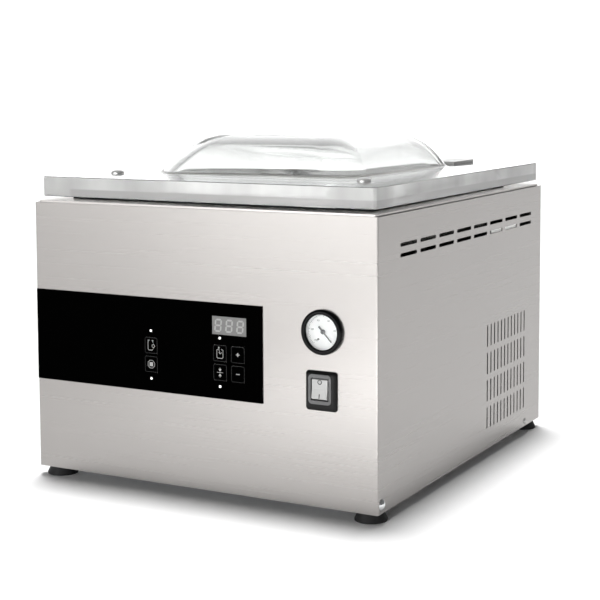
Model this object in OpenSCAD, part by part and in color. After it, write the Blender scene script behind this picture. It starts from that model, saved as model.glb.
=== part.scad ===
// Table-top vacuum chamber sealer: a folded steel housing around a drawn chamber, a clear domed lid
// on sprung rear hinges, a lifting seal bar, a rotary vane pump and a front panel with membrane keys.
// Millimetres. +X is the machine's right as its user sees it, -Y its front, +Z up.
// Z = 0 is the surface that the feet stand on.

/* [Housing] */
// Width over the folded casing
body_w = 384; // [380:1:400]
// Depth from the front face to the rear panel
body_d = 438; // [434:1:450]
// Height of the folded casing, without the feet
casing_h = 271; // [265:1:285]
// Thickness of the casing's sheet steel
sheet = 1.2; // [1:0.1:1.5]
// Height of the rubber feet
foot_h = 10; // [8:1:14]
// How far the deck's top face stands above the casing's rim
deck_step = 2; // [1.5:0.5:3]

/* [Chamber] */
// Inside width of the chamber
chamber_w = 316; // [310:1:320]
// Inside length of the chamber, front to back
chamber_l = 316; // [300:1:318]
// Depth of the chamber below the deck
chamber_depth = 88; // [80:1:95]
// Lift of the seal bar when its cylinders fill
bar_lift = 9; // [6:0.5:9]

/* [Lid] */
// Thickness of the clear lid plate
lid_t = 20; // [15:1:22]
// Width of the lid plate
lid_w = 373; // [370:1:380]
// Length of the lid plate, front to back
lid_l = 431; // [425:1:432]
// Gap between the deck and the lid plate
lid_gap = 4; // [4:0.5:6]
// Height of the dome above the lid plate
dome_h = 43; // [38:1:50]
// Wall thickness of the dome
dome_wall = 9; // [6:1:12]

/* [Front panel] */
// Width of the black control overlay
overlay_w = 263.6; // [255:0.2:268]
// Height of the black control overlay
overlay_h = 92; // [90:1:96]
// Width of one membrane key
key_w = 14.8; // [13:0.2:15.4]
// Height of one membrane key
key_h = 15.8; // [14:0.2:16.2]
// Outside diameter of the vacuum gauge's bezel
gauge_d = 42; // [40:0.5:44]

/* [Hidden] */
$fn = 48;

// How far the front fittings stand in front of the casing, and the hinges behind the rear panel
front_proud = 6.4;
rear_proud = 19;
front_y = (front_proud - body_d - rear_proud) / 2;
casing_z0 = foot_h;
casing_z1 = foot_h + casing_h;
deck_z = casing_z1 + deck_step;
lid_z0 = deck_z + lid_gap;
lid_z1 = lid_z0 + lid_t;

// A small gap, a running clearance and a depth that cuts right through a sheet
gap = 0.3;
running = 0.05;
cut = 10;

steel = [0.78, 0.77, 0.75];
zinc = [0.70, 0.71, 0.72];
aluminium = [0.80, 0.81, 0.82];
black = [0.06, 0.06, 0.06];
rubber_black = [0.10, 0.10, 0.10];
clear = [0.85, 0.92, 0.95, 0.35];
white_plastic = [0.95, 0.95, 0.93];
grey_plastic = [0.62, 0.62, 0.62];

// Y of a place that lies a given distance behind the casing's front face
function behind_front(distance) = front_y + distance;

// ---- Shared shapes ----

// Rectangle centred on the origin with round corners
module round_rect(w, l, r) {
  square([w - 2 * r, l], center = true);
  square([w, l - 2 * r], center = true);
  for (sx = [-1, 1], sy = [-1, 1])
    translate([sx * (w / 2 - r), sy * (l / 2 - r)]) circle(r);
}

// Upright plate with round corners, centred on X and Y
module round_plate(w, l, h, r) {
  linear_extrude(h) round_rect(w, l, r);
}

// Slot with round ends, its length along the drawing's X
module obround(length, width) {
  square([length - width, width], center = true);
  for (s = [-1, 1]) translate([s * (length - width) / 2, 0]) circle(width / 2, $fn = 16);
}

// Turns a drawing so that it faces the machine's user; its extrusion runs from y0 towards the back
module facing_front(x, y0, z, depth) {
  translate([x, y0 + depth, z]) rotate([90, 0, 0]) linear_extrude(depth) children();
}

// Turns a drawing so that its X runs front to back and its Y up; it is extruded along +X from x0
module facing_side(x0, thickness) {
  translate([x0, 0, 0]) rotate([90, 0, 90]) linear_extrude(thickness) children();
}

// Cylinder along Y, from y0 towards the back
module rod_y(x, y0, z, r, length) {
  translate([x, y0 + length, z]) rotate([90, 0, 0]) cylinder(r = r, h = length);
}

// Cylinder along X, from x0 to the right
module rod_x(x0, y, z, r, length) {
  translate([x0, y, z]) rotate([0, 90, 0]) cylinder(r = r, h = length);
}

// Cuts each corner of a route at a quarter of its two sides, as often as asked; its ends stay
function rounded(route, times) = times == 0 ? route : rounded(concat([route[0]],
  [for (i = [0 : len(route) - 2]) each [route[i] * 0.75 + route[i + 1] * 0.25,
                                        route[i] * 0.25 + route[i + 1] * 0.75]],
  [route[len(route) - 1]]), times - 1);

function unit(v) = v / norm(v);

// Direction of a route at one of its points
function heading(route, i) =
  i == 0 ? unit(route[1] - route[0])
  : i == len(route) - 1 ? unit(route[i] - route[i - 1])
  : unit(unit(route[i + 1] - route[i]) + unit(route[i] - route[i - 1]));

// A sideways direction at each point, carried along the route without twist
function carried(route, i, side) = let (t = heading(route, i), s = unit(side - (side * t) * t))
  i == len(route) - 1 ? [s] : concat([s], carried(route, i + 1, s));

// Hose of radius r along a route whose corners are rounded
module hose(corners, r) {
  sides = 10;
  route = rounded(corners, 2);
  across = carried(route, 0, [0.31, 0.53, 0.79]);
  points = [for (i = [0 : len(route) - 1], k = [0 : sides - 1])
    let (s = across[i], up = cross(heading(route, i), s), a = k * 360 / sides)
      route[i] + r * (cos(a) * s + sin(a) * up)];
  last = (len(route) - 1) * sides;
  faces = concat(
    [for (j = [0 : len(route) - 2], k = [0 : sides - 1]) let (n = (k + 1) % sides, a = j * sides)
      each [[a + k, a + sides + k, a + sides + n], [a + k, a + sides + n, a + n]]],
    [[for (k = [0 : sides - 1]) k]],
    [[for (k = [0 : sides - 1]) last + sides - 1 - k]]
  );
  polyhedron(points, faces, convexity = 6);
}

// Button-head screw along +Z, its head's underside at z = 0
module button_screw(head_r, head_h, shank_r, shank_l) {
  intersection() {
    cylinder(r = head_r, h = head_h);
    translate([0, 0, head_h - head_r * 1.25]) sphere(head_r * 1.25);
  }
  translate([0, 0, -shank_l]) cylinder(r = shank_r, h = shank_l + head_h / 4);
}

// ---- Housing ----

// Rows of horizontal vent slots near the top of each side
vent_count = 8;
vent_pitch = 45.5;
vent_length = 37.5;
vent_width = 3.6;
vent_first = 66.3;
vent_rows = [casing_z0 + 231.8, casing_z0 + 241.6];

// Block of upright grille slots low at the rear of the right side, where the pump draws its air
grille_columns = 12;
grille_column_pitch = 10.3;
grille_first = 270.4;
grille_rows = 4;
grille_row_pitch = 29.4;
grille_low = casing_z0 + 33.7;
grille_slot = 23.3;
grille_width = 2.8;

module side_slots(x, with_grille) {
  facing_side(x - cut / 2, cut) {
    for (z = vent_rows, i = [0 : vent_count - 1])
      translate([behind_front(vent_first + i * vent_pitch), z]) obround(vent_length, vent_width);
    if (with_grille)
      for (row = [0 : grille_rows - 1], column = [0 : grille_columns - 1])
        translate([behind_front(grille_first + column * grille_column_pitch),
                   grille_low + row * grille_row_pitch])
          rotate(90) obround(grille_slot, grille_width);
  }
}

// Key, lamp, display, gauge and switch places on the front, X from the middle and Z above the casing's foot
overlay_left = -body_w / 2 + 1.4;
overlay_z0 = casing_z0 + 91;
overlay_t = 1.2;
key_places = [
  [-51.7, casing_z0 + 136.0], [-51.7, casing_z0 + 117.5], [26.8, casing_z0 + 135.0],
  [26.8, casing_z0 + 116.5], [46.5, casing_z0 + 135.0], [46.5, casing_z0 + 116.5]
];
lamp_places = [
  [-51.7, casing_z0 + 150.6], [-51.7, casing_z0 + 103.5], [26.8, casing_z0 + 149.6],
  [26.8, casing_z0 + 103.0]
];
lamp_r = 1.3;
display_x = 37.2;
display_z = casing_z0 + 161.7;
display_w = 37.4;
display_h = 17.4;
gauge_x = 136.3;
gauge_z = casing_z0 + 163.9;
switch_x = 135.3;
switch_z = casing_z0 + 109.3;
key_post_r = 3;
// Radii of threads and clearance holes for the screws
m3_thread = 1.6;
m3_hole = 1.8;
m4_hole = 2.2;
m5_hole = 2.7;
m8_hole = 4.2;
// Cut-outs for the fittings that snap or screw in, the switch's body, and the blades of their terminals
switch_cut = [22.4, 30.4];
switch_body = [21.8, 29.8];
inlet_cut = [27.6, 20.6];
terminal = [0.8, 6.3];
// Screws low on each side, as [distance behind the front, height, head's radius, head's height]
side_screws = [[8, casing_z0 + 8.4, 5.5, 2.8], [body_d - 50, casing_z0 + 5.5, 3.5, 1.6]];

module casing() {
  fold_r = 2;
  lip = 8;
  flange = 14;
  flange_z0 = casing_z0 + 20;
  flange_z1 = casing_z1 - 16;
  inner_w = body_w - 2 * sheet;
  case_hole = gauge_d / 2 - 1.5;
  color(steel)
  difference() {
    union() {
      difference() {
        translate([0, behind_front(body_d / 2), casing_z0]) round_plate(body_w, body_d, casing_h, fold_r);
        translate([-inner_w / 2, behind_front(sheet), casing_z0 + sheet]) cube([inner_w, body_d, casing_h]);
        translate([-inner_w / 2 + lip, behind_front(sheet + lip), casing_z0 - 1])
          cube([inner_w - 2 * lip, body_d, casing_h]);
      }
      for (side = [-1, 1])
        translate([side * (inner_w / 2 - flange / 2 + sheet / 4) - flange / 2 - sheet / 4,
                   behind_front(body_d - 2 * sheet), flange_z0])
          cube([flange + sheet / 2, sheet, flange_z1 - flange_z0]);
    }
    side_slots(body_w / 2, true);
    side_slots(-body_w / 2, false);
    rod_y(gauge_x, front_y - 1, gauge_z, case_hole + gap, cut);
    facing_front(switch_x, front_y - 1, switch_z, cut) square(switch_cut, center = true);
    for (place = key_places) rod_y(place[0], front_y - 1, place[1], key_post_r + 1, cut);
    for (place = lamp_places) rod_y(place[0], front_y - 1, place[1], lamp_r, cut);
    facing_front(display_x, front_y - 1, display_z, cut) square([display_w - 2, display_h - 2], center = true);
    for (side = [-1, 1], screw = side_screws)
      rod_x(side * (body_w / 2) - cut / 2, behind_front(screw[0]), screw[1], m4_hole, cut);
    for (place = rear_screw_places()) rod_y(place[0], behind_front(body_d - 4), place[1], m3_thread, cut);
  }
}

tray_t = 1.5;
tray_z = casing_z0 + sheet;
tray_wall = 20;
foot_inset = 15.5;
foot_places = [for (sx = [-1, 1], place = [foot_inset + 2.5, body_d - foot_inset])
  [sx * (body_w / 2 - foot_inset), behind_front(place)]];
pump_x = 85;
pump_z = 88;
pump_feet = [for (x = [pump_x - 45, pump_x + 45], place = [150, 262]) [x, behind_front(place)]];

module base_tray() {
  tray_w = body_w - 2 * sheet - 2 * gap;
  tray_l = body_d - 2 * sheet - 2 * gap - 2;
  slot_pitch = 12;
  color(zinc)
  difference() {
    translate([0, behind_front(sheet + gap + tray_l / 2), tray_z]) round_plate(tray_w, tray_l, tray_wall, 2);
    translate([0, behind_front(sheet + gap + tray_l / 2), tray_z + tray_t])
      round_plate(tray_w - 2 * tray_t, tray_l - 2 * tray_t, tray_wall, 1);
    for (place = foot_places) translate([place[0], place[1], tray_z - 1]) cylinder(r = m5_hole, h = cut);
    for (place = pump_feet) translate([place[0], place[1], tray_z - 1]) cylinder(r = m8_hole, h = cut);
    for (i = [-4 : 4])
      translate([pump_x + i * slot_pitch, behind_front(330), tray_z - 1]) linear_extrude(cut)
        rotate(90) obround(50, 4);
    for (side = [-1, 1], screw = side_screws)
      rod_x(side * (body_w / 2) - cut / 2, behind_front(screw[0]), screw[1], m4_hole, cut);
  }
}

// Rear panel screws sit on the casing's rear flanges
function rear_screw_places() = [for (side = [-1, 1], z = [45, 150, 252]) [side * 184, z]];
inlet_x = -120;
inlet_z = 60;
hinge_x = 100;
bracket_t = 3;
bracket_dx = 13;
bracket_rows = [casing_z0 + 232, casing_z0 + 243];
bracket_holes = [for (side = [-1, 1], dx = [-bracket_dx, bracket_dx], z = bracket_rows)
  [side * hinge_x + dx, z]];

module rear_panel() {
  panel_w = body_w - 2 * sheet - 2 * gap;
  panel_z0 = casing_z0 + sheet + gap;
  louvre_pitch = 11;
  color(steel)
  difference() {
    facing_front(0, behind_front(body_d - sheet), (panel_z0 + casing_z1 - 1) / 2, sheet)
      round_rect(panel_w, casing_z1 - 1 - panel_z0, 1.5);
    facing_front(inlet_x, behind_front(body_d - 4), inlet_z, cut) square(inlet_cut, center = true);
    for (i = [-4 : 4])
      facing_front(pump_x, behind_front(body_d - 4), pump_z + i * louvre_pitch, cut)
        obround(84, 4);
    for (place = rear_screw_places()) rod_y(place[0], behind_front(body_d - 4), place[1], m3_hole, cut);
    for (place = bracket_holes) rod_y(place[0], behind_front(body_d - 4), place[1], m4_hole, cut);
  }
}

module rear_screws() {
  color(zinc) {
    for (place = rear_screw_places())
      translate([place[0], behind_front(body_d), place[1]]) rotate([-90, 0, 0])
        button_screw(3.2, 1.8, 1.5, 5);
    for (place = bracket_holes)
      translate([place[0], behind_front(body_d + bracket_t), place[1]]) rotate([-90, 0, 0])
        button_screw(3.6, 2, 2, 8);
  }
}

module casing_screws() {
  color(zinc)
  for (side = [-1, 1], screw = side_screws)
    translate([side * body_w / 2, behind_front(screw[0]), screw[1]]) rotate([0, side * 90, 0])
      button_screw(screw[2], screw[3], 2, 6);
}

deck_t = 1.5;
deck_edge = 3;
chamber_mid = 204;
chamber_r = 20;

module top_deck() {
  skirt = 12;
  deck_w = body_w - 2 * deck_edge;
  deck_l = body_d - 2 * deck_edge;
  color(steel)
  difference() {
    translate([0, behind_front(body_d / 2), deck_z - skirt]) round_plate(deck_w, deck_l, skirt, 2.5);
    translate([0, behind_front(body_d / 2), deck_z - skirt - 1])
      round_plate(deck_w - 2 * deck_t, deck_l - 2 * deck_t, skirt - deck_t + 1, 1);
    translate([0, behind_front(chamber_mid), deck_z - cut]) round_plate(chamber_w, chamber_l, 2 * cut, chamber_r);
  }
}

tub_t = 1.5;
floor_z = deck_z - chamber_depth;
bar_y = 72;
cylinder_x = 100;
port_z = floor_z + 50;

module chamber_tub() {
  flange = 12;
  tub_top = deck_z - deck_t;
  color(steel)
  difference() {
    union() {
      translate([0, behind_front(chamber_mid), floor_z - tub_t])
        round_plate(chamber_w + 2 * tub_t, chamber_l + 2 * tub_t, tub_top - floor_z + tub_t, chamber_r + tub_t);
      translate([0, behind_front(chamber_mid), tub_top - tub_t])
        round_plate(chamber_w + 2 * flange, chamber_l + 2 * flange, tub_t, chamber_r + flange);
    }
    translate([0, behind_front(chamber_mid), floor_z]) round_plate(chamber_w, chamber_l, chamber_depth, chamber_r);
    for (side = [-1, 1])
      translate([side * cylinder_x, behind_front(bar_y), floor_z - cut / 2]) cylinder(r = 4, h = cut);
    rod_y(0, behind_front(chamber_mid + chamber_l / 2 - 1), port_z, 9, cut);
  }
}

module chamber_gasket() {
  inset = 5;
  gasket_w = 8;
  inner_r = 2;
  outer_r = 5;
  color(rubber_black)
  translate([0, behind_front(chamber_mid), deck_z])
  difference() {
    round_plate(chamber_w + 2 * (inset + gasket_w), chamber_l + 2 * (inset + gasket_w),
                lid_gap - gap, outer_r);
    translate([0, 0, -1]) round_plate(chamber_w + 2 * inset, chamber_l + 2 * inset, cut, inner_r);
  }
}

// Angle brackets that carry the tub from the casing's sides
module support_brackets() {
  angle_t = 1.5;
  angle_l = 84;
  angle_mid = 325;
  angle_z0 = casing_z0 + 192;
  angle_z1 = casing_z0 + 239;
  reach = (body_w - chamber_w) / 2 - sheet - tub_t;
  color(zinc)
  for (side = [-1, 1]) {
    wall_x = side * (body_w / 2 - sheet - angle_t / 2);
    translate([wall_x - angle_t / 2, behind_front(angle_mid - angle_l / 2), angle_z0])
      cube([angle_t, angle_l, angle_z1 - angle_z0]);
    translate([side * (chamber_w / 2 + tub_t + reach / 2) - reach / 2,
               behind_front(angle_mid - angle_l / 2), angle_z0])
      cube([reach, angle_l, angle_t]);
  }
}

module rubber_feet() {
  base_r = 15.5;
  top_r = 11.5;
  boss_r = 7;
  color(rubber_black)
  for (place = foot_places)
    translate([place[0], place[1], 0])
    difference() {
      union() {
        cylinder(r = base_r, h = 1.5);
        translate([0, 0, 1.5]) cylinder(r1 = base_r, r2 = top_r, h = foot_h - 1.5);
        cylinder(r = boss_r, h = tray_z);
      }
      translate([0, 0, -1]) cylinder(r = 5.5, h = 6);
      translate([0, 0, -1]) cylinder(r = 2.5, h = foot_h + cut);
    }
}

module foot_screws() {
  head_z = 5;
  nut_r = 4.6;
  color(zinc)
  for (place = foot_places)
    translate([place[0], place[1], 0]) {
      translate([0, 0, head_z - 2.5]) cylinder(r = 4.8, h = 2.5);
      translate([0, 0, head_z - 1]) cylinder(r = 2.4, h = tray_z + 8 - head_z);
      translate([0, 0, tray_z + tray_t]) cylinder(r = nut_r, h = 4, $fn = 6);
    }
}

// ---- Front controls ----

module control_overlay() {
  color(black)
  difference() {
    facing_front(overlay_left + overlay_w / 2, front_y - overlay_t, overlay_z0 + overlay_h / 2, overlay_t)
      square([overlay_w, overlay_h], center = true);
    for (place = key_places)
      facing_front(place[0], front_y - cut / 2, place[1], cut)
        round_rect(key_w + 2 * gap, key_h + 2 * gap, 1.8);
    for (place = lamp_places) rod_y(place[0], front_y - cut / 2, place[1], lamp_r, cut);
    facing_front(display_x, front_y - cut / 2, display_z, cut) square([display_w, display_h], center = true);
  }
}

// Keys lie in windows of the overlay, and a post behind each reaches a switch on the board
key_travel = 0.4;
key_t = 0.5;
board_y = 9;
tact_switch_h = 3.7;

module membrane_key(place) {
  color(black) {
    facing_front(place[0], front_y - overlay_t, place[1], key_t) round_rect(key_w, key_h, 1.5);
    rod_y(place[0], front_y - overlay_t + key_t / 2, place[1], key_post_r,
          board_y - tact_switch_h - gap - key_travel + overlay_t - key_t / 2);
  }
}

module key_start() { membrane_key(key_places[0]); }
module key_stop() { membrane_key(key_places[1]); }
module key_vacuum() { membrane_key(key_places[2]); }
module key_seal() { membrane_key(key_places[3]); }
module key_plus() { membrane_key(key_places[4]); }
module key_minus() { membrane_key(key_places[5]); }

module display_window() {
  color([0.55, 0.56, 0.56])
  facing_front(display_x, front_y - overlay_t, display_z, overlay_t) square([display_w, display_h], center = true);
}

module display_module() {
  digit_pitch = 11.6;
  body_t = 6;
  color([0.85, 0.85, 0.85]) {
    facing_front(display_x, behind_front(gap), display_z, body_t)
      square([display_w - 3, display_h - 3], center = true);
    for (i = [-1 : 1], dz = [-5, 5])
      rod_y(display_x + i * digit_pitch, behind_front(gap + body_t), display_z + dz, 0.4,
            board_y - body_t - gap);
  }
}

module indicator_lamps() {
  color("white")
  for (place = lamp_places)
    rod_y(place[0], front_y - overlay_t - 0.2, place[1], lamp_r - 0.1, board_y + overlay_t + 0.2);
}

module control_board() {
  board_t = 1.6;
  board_x0 = -75;
  board_x1 = 64;
  board_z0 = overlay_z0 + 4;
  board_z1 = overlay_z0 + overlay_h - 4;
  // Two relays, a transformer, the processor and three connectors on the back, as [X, height, size]
  back_parts = [
    [-60, 10, [19, 15, 15]], [-36, 10, [19, 15, 15]], [-8, 12, [30, 20, 28]], [-20, 52, [16, 2.4, 16]],
    for (x = [-62, -36, -10]) [x, board_z1 - board_z0 - 9, [20, 9, 8]]
  ];
  color([0.10, 0.38, 0.20]) {
    translate([board_x0, behind_front(board_y), board_z0])
      cube([board_x1 - board_x0, board_t, board_z1 - board_z0]);
    for (x = [board_x0 + 5, board_x1 - 5], z = [board_z0 + 5, board_z1 - 5])
      rod_y(x, behind_front(sheet), z, 3, board_y - sheet);
    // Tactile switches under the keys
    for (place = key_places)
      facing_front(place[0], behind_front(board_y - tact_switch_h), place[1], tact_switch_h)
        square([6, 6], center = true);
    for (part = back_parts)
      translate([part[0], behind_front(board_y + board_t), board_z0 + part[1]]) cube(part[2]);
  }
}

// ---- Vacuum gauge ----

bezel_proud = 5;
gauge_r = gauge_d / 2;
dial_r = gauge_r - 3;
cup_depth = 2.2;
dial_t = 0.6;
gauge_zero = -47.5;
gauge_post_r = 0.6;
shell_t = 1.5;

module gauge_case() {
  case_r = gauge_r - shell_t;
  case_l = 27;
  stem_r = 5;
  post_proud = 0.4;
  color(black) {
    difference() {
      rod_y(gauge_x, front_y - shell_t, gauge_z, case_r, case_l + shell_t);
      rod_y(gauge_x, front_y - 2, gauge_z, dial_r + gap, cup_depth + 2);
    }
    rod_y(gauge_x, behind_front(case_l), gauge_z, stem_r, 14);
    rod_y(gauge_x, behind_front(case_l + 4), gauge_z, stem_r + 2.5, 5);
    // Fixed post that the pointer turns on
    rod_y(gauge_x, behind_front(-post_proud), gauge_z, gauge_post_r, cup_depth + 1);
  }
}

module gauge_bezel() {
  lip_r = gauge_r - 4.7;
  lip_t = 2.4;
  edge = 1.4;
  groove_r = gauge_r - 2.6;
  color(black)
  translate([gauge_x, front_y, gauge_z]) rotate([90, 0, 0])
  rotate_extrude($fn = 96)
    polygon([[gauge_r - shell_t, 0], [gauge_r, 0], [gauge_r, bezel_proud - edge], [gauge_r - edge, bezel_proud],
             [lip_r + edge, bezel_proud], [lip_r, bezel_proud - lip_t / 2], [lip_r, bezel_proud - lip_t],
             [groove_r, bezel_proud - lip_t], [groove_r, shell_t], [gauge_r - shell_t, shell_t]]);
}

module gauge_dial() {
  color("white")
  difference() {
    rod_y(gauge_x, behind_front(cup_depth - dial_t), gauge_z, dial_r, dial_t);
    rod_y(gauge_x, front_y, gauge_z, 1, 2 * cup_depth);
  }
}

module gauge_glass() {
  color(clear) rod_y(gauge_x, front_y - 2.5, gauge_z, dial_r + gap, 1);
}

module gauge_needle() {
  tip = 12.6;
  tail = 6.5;
  hub_r = 2.2;
  needle_y = behind_front(0.3);
  blade_t = 0.5;
  color([0.25, 0.25, 0.25])
  difference() {
    union() {
      translate([gauge_x, needle_y + blade_t, gauge_z]) rotate([90, 0, 0]) rotate(gauge_zero)
        linear_extrude(blade_t)
          polygon([[-tail, -0.9], [-tail, 0.9], [0, 0.7], [tip, 0.25], [tip, -0.25], [0, -0.7]]);
      rod_y(gauge_x, needle_y - 0.2, gauge_z, hub_r, 1.2);
    }
    rod_y(gauge_x, needle_y - 1, gauge_z, gauge_post_r + running, 4);
  }
}

// ---- Mains switch ----

switch_w = 32;
switch_h = 37;
frame_w = 23.4;
frame_h = 27.6;
window_w = 18.4;
window_h = 21;
rocker_w = 15.8;
rocker_r = 9.8;
rocker_z = switch_z + 2;
rocker_y = front_y - 1;
rocker_tilt = 5;

module switch_bezel() {
  step_proud = 1.2;
  top_proud = 4;
  color(black) {
    difference() {
      union() {
        facing_front(switch_x, front_y - step_proud, switch_z, step_proud) round_rect(switch_w, switch_h, 3);
        translate([switch_x, front_y - step_proud, switch_z]) rotate([90, 0, 0])
          linear_extrude(top_proud - step_proud, scale = [0.86, 0.87], $fn = 16)
            round_rect(switch_w, switch_h, 3);
        facing_front(switch_x, front_y, switch_z, 24) square(switch_body, center = true);
        for (dx = [-5, 5], dz = [-8, 8])
          facing_front(switch_x + dx, behind_front(24), switch_z + dz, 8) square(terminal, center = true);
      }
      facing_front(switch_x, front_y - cut, rocker_z, cut + 11) square([window_w, window_h], center = true);
      facing_front(switch_x, front_y - cut - 2.4, rocker_z, cut) round_rect(frame_w, frame_h, 4);
    }
    // Rod that the rocker turns on
    rod_x(switch_x - window_w / 2 - 1, rocker_y, rocker_z, 1, window_w + 2);
  }
}

module switch_frame() {
  color([0.42, 0.42, 0.43])
  difference() {
    facing_front(switch_x, front_y - 5, rocker_z, 2.6) round_rect(frame_w, frame_h, 4);
    facing_front(switch_x, front_y - cut, rocker_z, 2 * cut) round_rect(window_w, window_h, 1);
  }
}

// The rocker's two faces meet in a shallow valley; it turns about a rod through the housing
module switch_rocker() {
  depth = 3.7;
  face = 12;
  rise = face * tan(rocker_tilt);
  color(grey_plastic)
  difference() {
    translate([switch_x, rocker_y, rocker_z]) rotate([-rocker_tilt, 0, 0])
    intersection() {
      rotate([0, 90, 0]) cylinder(r = rocker_r, h = rocker_w, center = true, $fn = 96);
      translate([-rocker_w / 2, 0, 0]) rotate([90, 0, 90]) linear_extrude(rocker_w)
        polygon([[-depth, 0], [-depth - rise, face], [3, face], [3, -face], [-depth - rise, -face]]);
    }
    rod_x(switch_x - rocker_w, rocker_y, rocker_z, 1 + running, 2 * rocker_w);
  }
}

// ---- Power inlet ----

module power_inlet() {
  flange_w = 31;
  flange_h = 24;
  flange_t = 2.5;
  pocket = 17;
  color(black) {
    difference() {
      union() {
        facing_front(inlet_x, behind_front(body_d), inlet_z, flange_t) round_rect(flange_w, flange_h, 2.5);
        facing_front(inlet_x, behind_front(body_d - 22), inlet_z, 22) square([27, 20], center = true);
      }
      facing_front(inlet_x, behind_front(body_d + flange_t - pocket), inlet_z, cut + pocket)
        polygon([[-12, -8], [12, -8], [12, 4], [8.5, 8], [-8.5, 8], [-12, 4]]);
    }
    for (pin = [[-7, -2], [0, 2], [7, -2]])
      facing_front(inlet_x + pin[0], behind_front(body_d + flange_t - pocket - 0.5), inlet_z + pin[1], 12.5)
        square([2, 4], center = true);
    for (pin = [[-7, -2], [0, 2], [7, -2]])
      facing_front(inlet_x + pin[0], behind_front(body_d - 30), inlet_z + pin[1], 8.2)
        square(terminal, center = true);
  }
}

// ---- Vacuum pump ----

pump_front = 130;
pump_l = 150;
motor_front = 281;
motor_l = 112;
cowl_l = 28;
motor_r = 52;
shaft_r = 6;
bore_rise = 4;

module pump_body() {
  body_w2 = 116;
  body_z0 = 32;
  body_z1 = 150;
  rib_pitch = 12;
  color([0.60, 0.62, 0.64])
  difference() {
    union() {
      translate([pump_x, behind_front(pump_front), (body_z0 + body_z1) / 2]) rotate([-90, 0, 0])
        round_plate(body_w2, body_z1 - body_z0, pump_l, 14);
      for (i = [0 : 5])
        translate([pump_x, behind_front(pump_front + 20 + i * rib_pitch), (body_z0 + body_z1) / 2])
          rotate([-90, 0, 0]) round_plate(body_w2 + 6, body_z1 - body_z0, 3, 14);
      translate([pump_x - 25, behind_front(pump_front + 40), body_z1 - 1]) cylinder(r = 15, h = 14);
      translate([pump_x + 25, behind_front(pump_front + 100), body_z1 - 1]) cylinder(r = 13, h = 10);
      rod_y(pump_x - 30, behind_front(pump_front - 4), 60, 12, 6);
    }
    rod_y(pump_x, behind_front(pump_front + 25), pump_z + bore_rise, 40, 95);
    rod_y(pump_x, behind_front(pump_front + 100), pump_z, shaft_r + running, 60);
    translate([pump_x - 25, behind_front(pump_front + 40), body_z1 + 3]) cylinder(r = 7, h = cut);
    for (place = pump_feet) translate([place[0], place[1], body_z0 - 1]) cylinder(r = 3, h = 12);
  }
}

module pump_motor() {
  fin_count = 28;
  color([0.35, 0.38, 0.42])
  difference() {
    union() {
      rod_y(pump_x, behind_front(motor_front), pump_z, motor_r, motor_l);
      for (i = [0 : fin_count - 1])
        translate([pump_x, behind_front(motor_front + 8), pump_z]) rotate([0, i * 360 / fin_count, 0])
          translate([motor_r - 1, 0, -0.9]) cube([6, motor_l - 16, 1.8]);
      translate([pump_x - 60, behind_front(motor_front + 30), pump_z + 30]) cube([30, 55, 34]);
    }
    rod_y(pump_x, behind_front(motor_front - 1), pump_z, shaft_r + running, motor_l + 2);
    rod_y(pump_x, behind_front(motor_front + 14), pump_z, 30, motor_l - 28);
  }
}

module motor_cowl() {
  cowl_r = motor_r + 3;
  cowl_y = behind_front(motor_front + motor_l);
  color(black)
  difference() {
    rod_y(pump_x, cowl_y, pump_z, cowl_r, cowl_l);
    rod_y(pump_x, cowl_y - 1, pump_z, cowl_r - 2, cowl_l - 1);
    for (i = [-4 : 4])
      facing_front(pump_x + i * 9, cowl_y + cowl_l - cut / 2, pump_z, cut)
        rotate(90) obround(2 * sqrt(40 * 40 - 81 * i * i), 5);
  }
}

// Pump rotor with its three vanes, and the shaft that runs through the motor
module pump_shaft() {
  rotor_r = 32;
  rotor_y = behind_front(pump_front + 26);
  rotor_l = 93;
  color([0.55, 0.56, 0.58]) {
    rod_y(pump_x, rotor_y, pump_z, rotor_r, rotor_l);
    rod_y(pump_x, rotor_y + rotor_l - 1, pump_z, shaft_r, motor_front + motor_l + 12 - pump_front - 26 - rotor_l + 1);
    rod_y(pump_x, behind_front(motor_front + 18), pump_z, 27, motor_l - 36);
    for (i = [0 : 2])
      translate([pump_x, rotor_y, pump_z]) rotate([0, i * 120, 0])
        translate([rotor_r - 5, 0, -2]) cube([8, rotor_l, 4]);
  }
}

module motor_fan() {
  fan_r = 46;
  blade_count = 8;
  fan_y = behind_front(motor_front + motor_l + 3);
  color(grey_plastic)
  difference() {
    union() {
      rod_y(pump_x, fan_y, pump_z, 13, 14);
      rod_y(pump_x, fan_y, pump_z, fan_r, 2);
      for (i = [0 : blade_count - 1])
        translate([pump_x, fan_y + 1, pump_z]) rotate([0, (i + 0.5) * 360 / blade_count, 0])
          translate([10, 0, -0.8]) cube([fan_r - 12, 11, 1.6]);
    }
    rod_y(pump_x, fan_y - 1, pump_z, shaft_r, cut + 10);
  }
}

module pump_dampers() {
  color(rubber_black)
  for (place = pump_feet)
    translate([place[0], place[1], tray_z + tray_t]) {
      cylinder(r = 10, h = 32 - tray_z - tray_t);
      translate([0, 0, 32 - tray_z - tray_t - 1]) cylinder(r = 2.8, h = 9);
      translate([0, 0, -tray_t - 3]) cylinder(r = 4, h = tray_t + 4);
    }
}

filter_x = 165;
filter_y = 345;
filter_r = 20;
filter_z0 = 26;
filter_z1 = 146;

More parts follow.
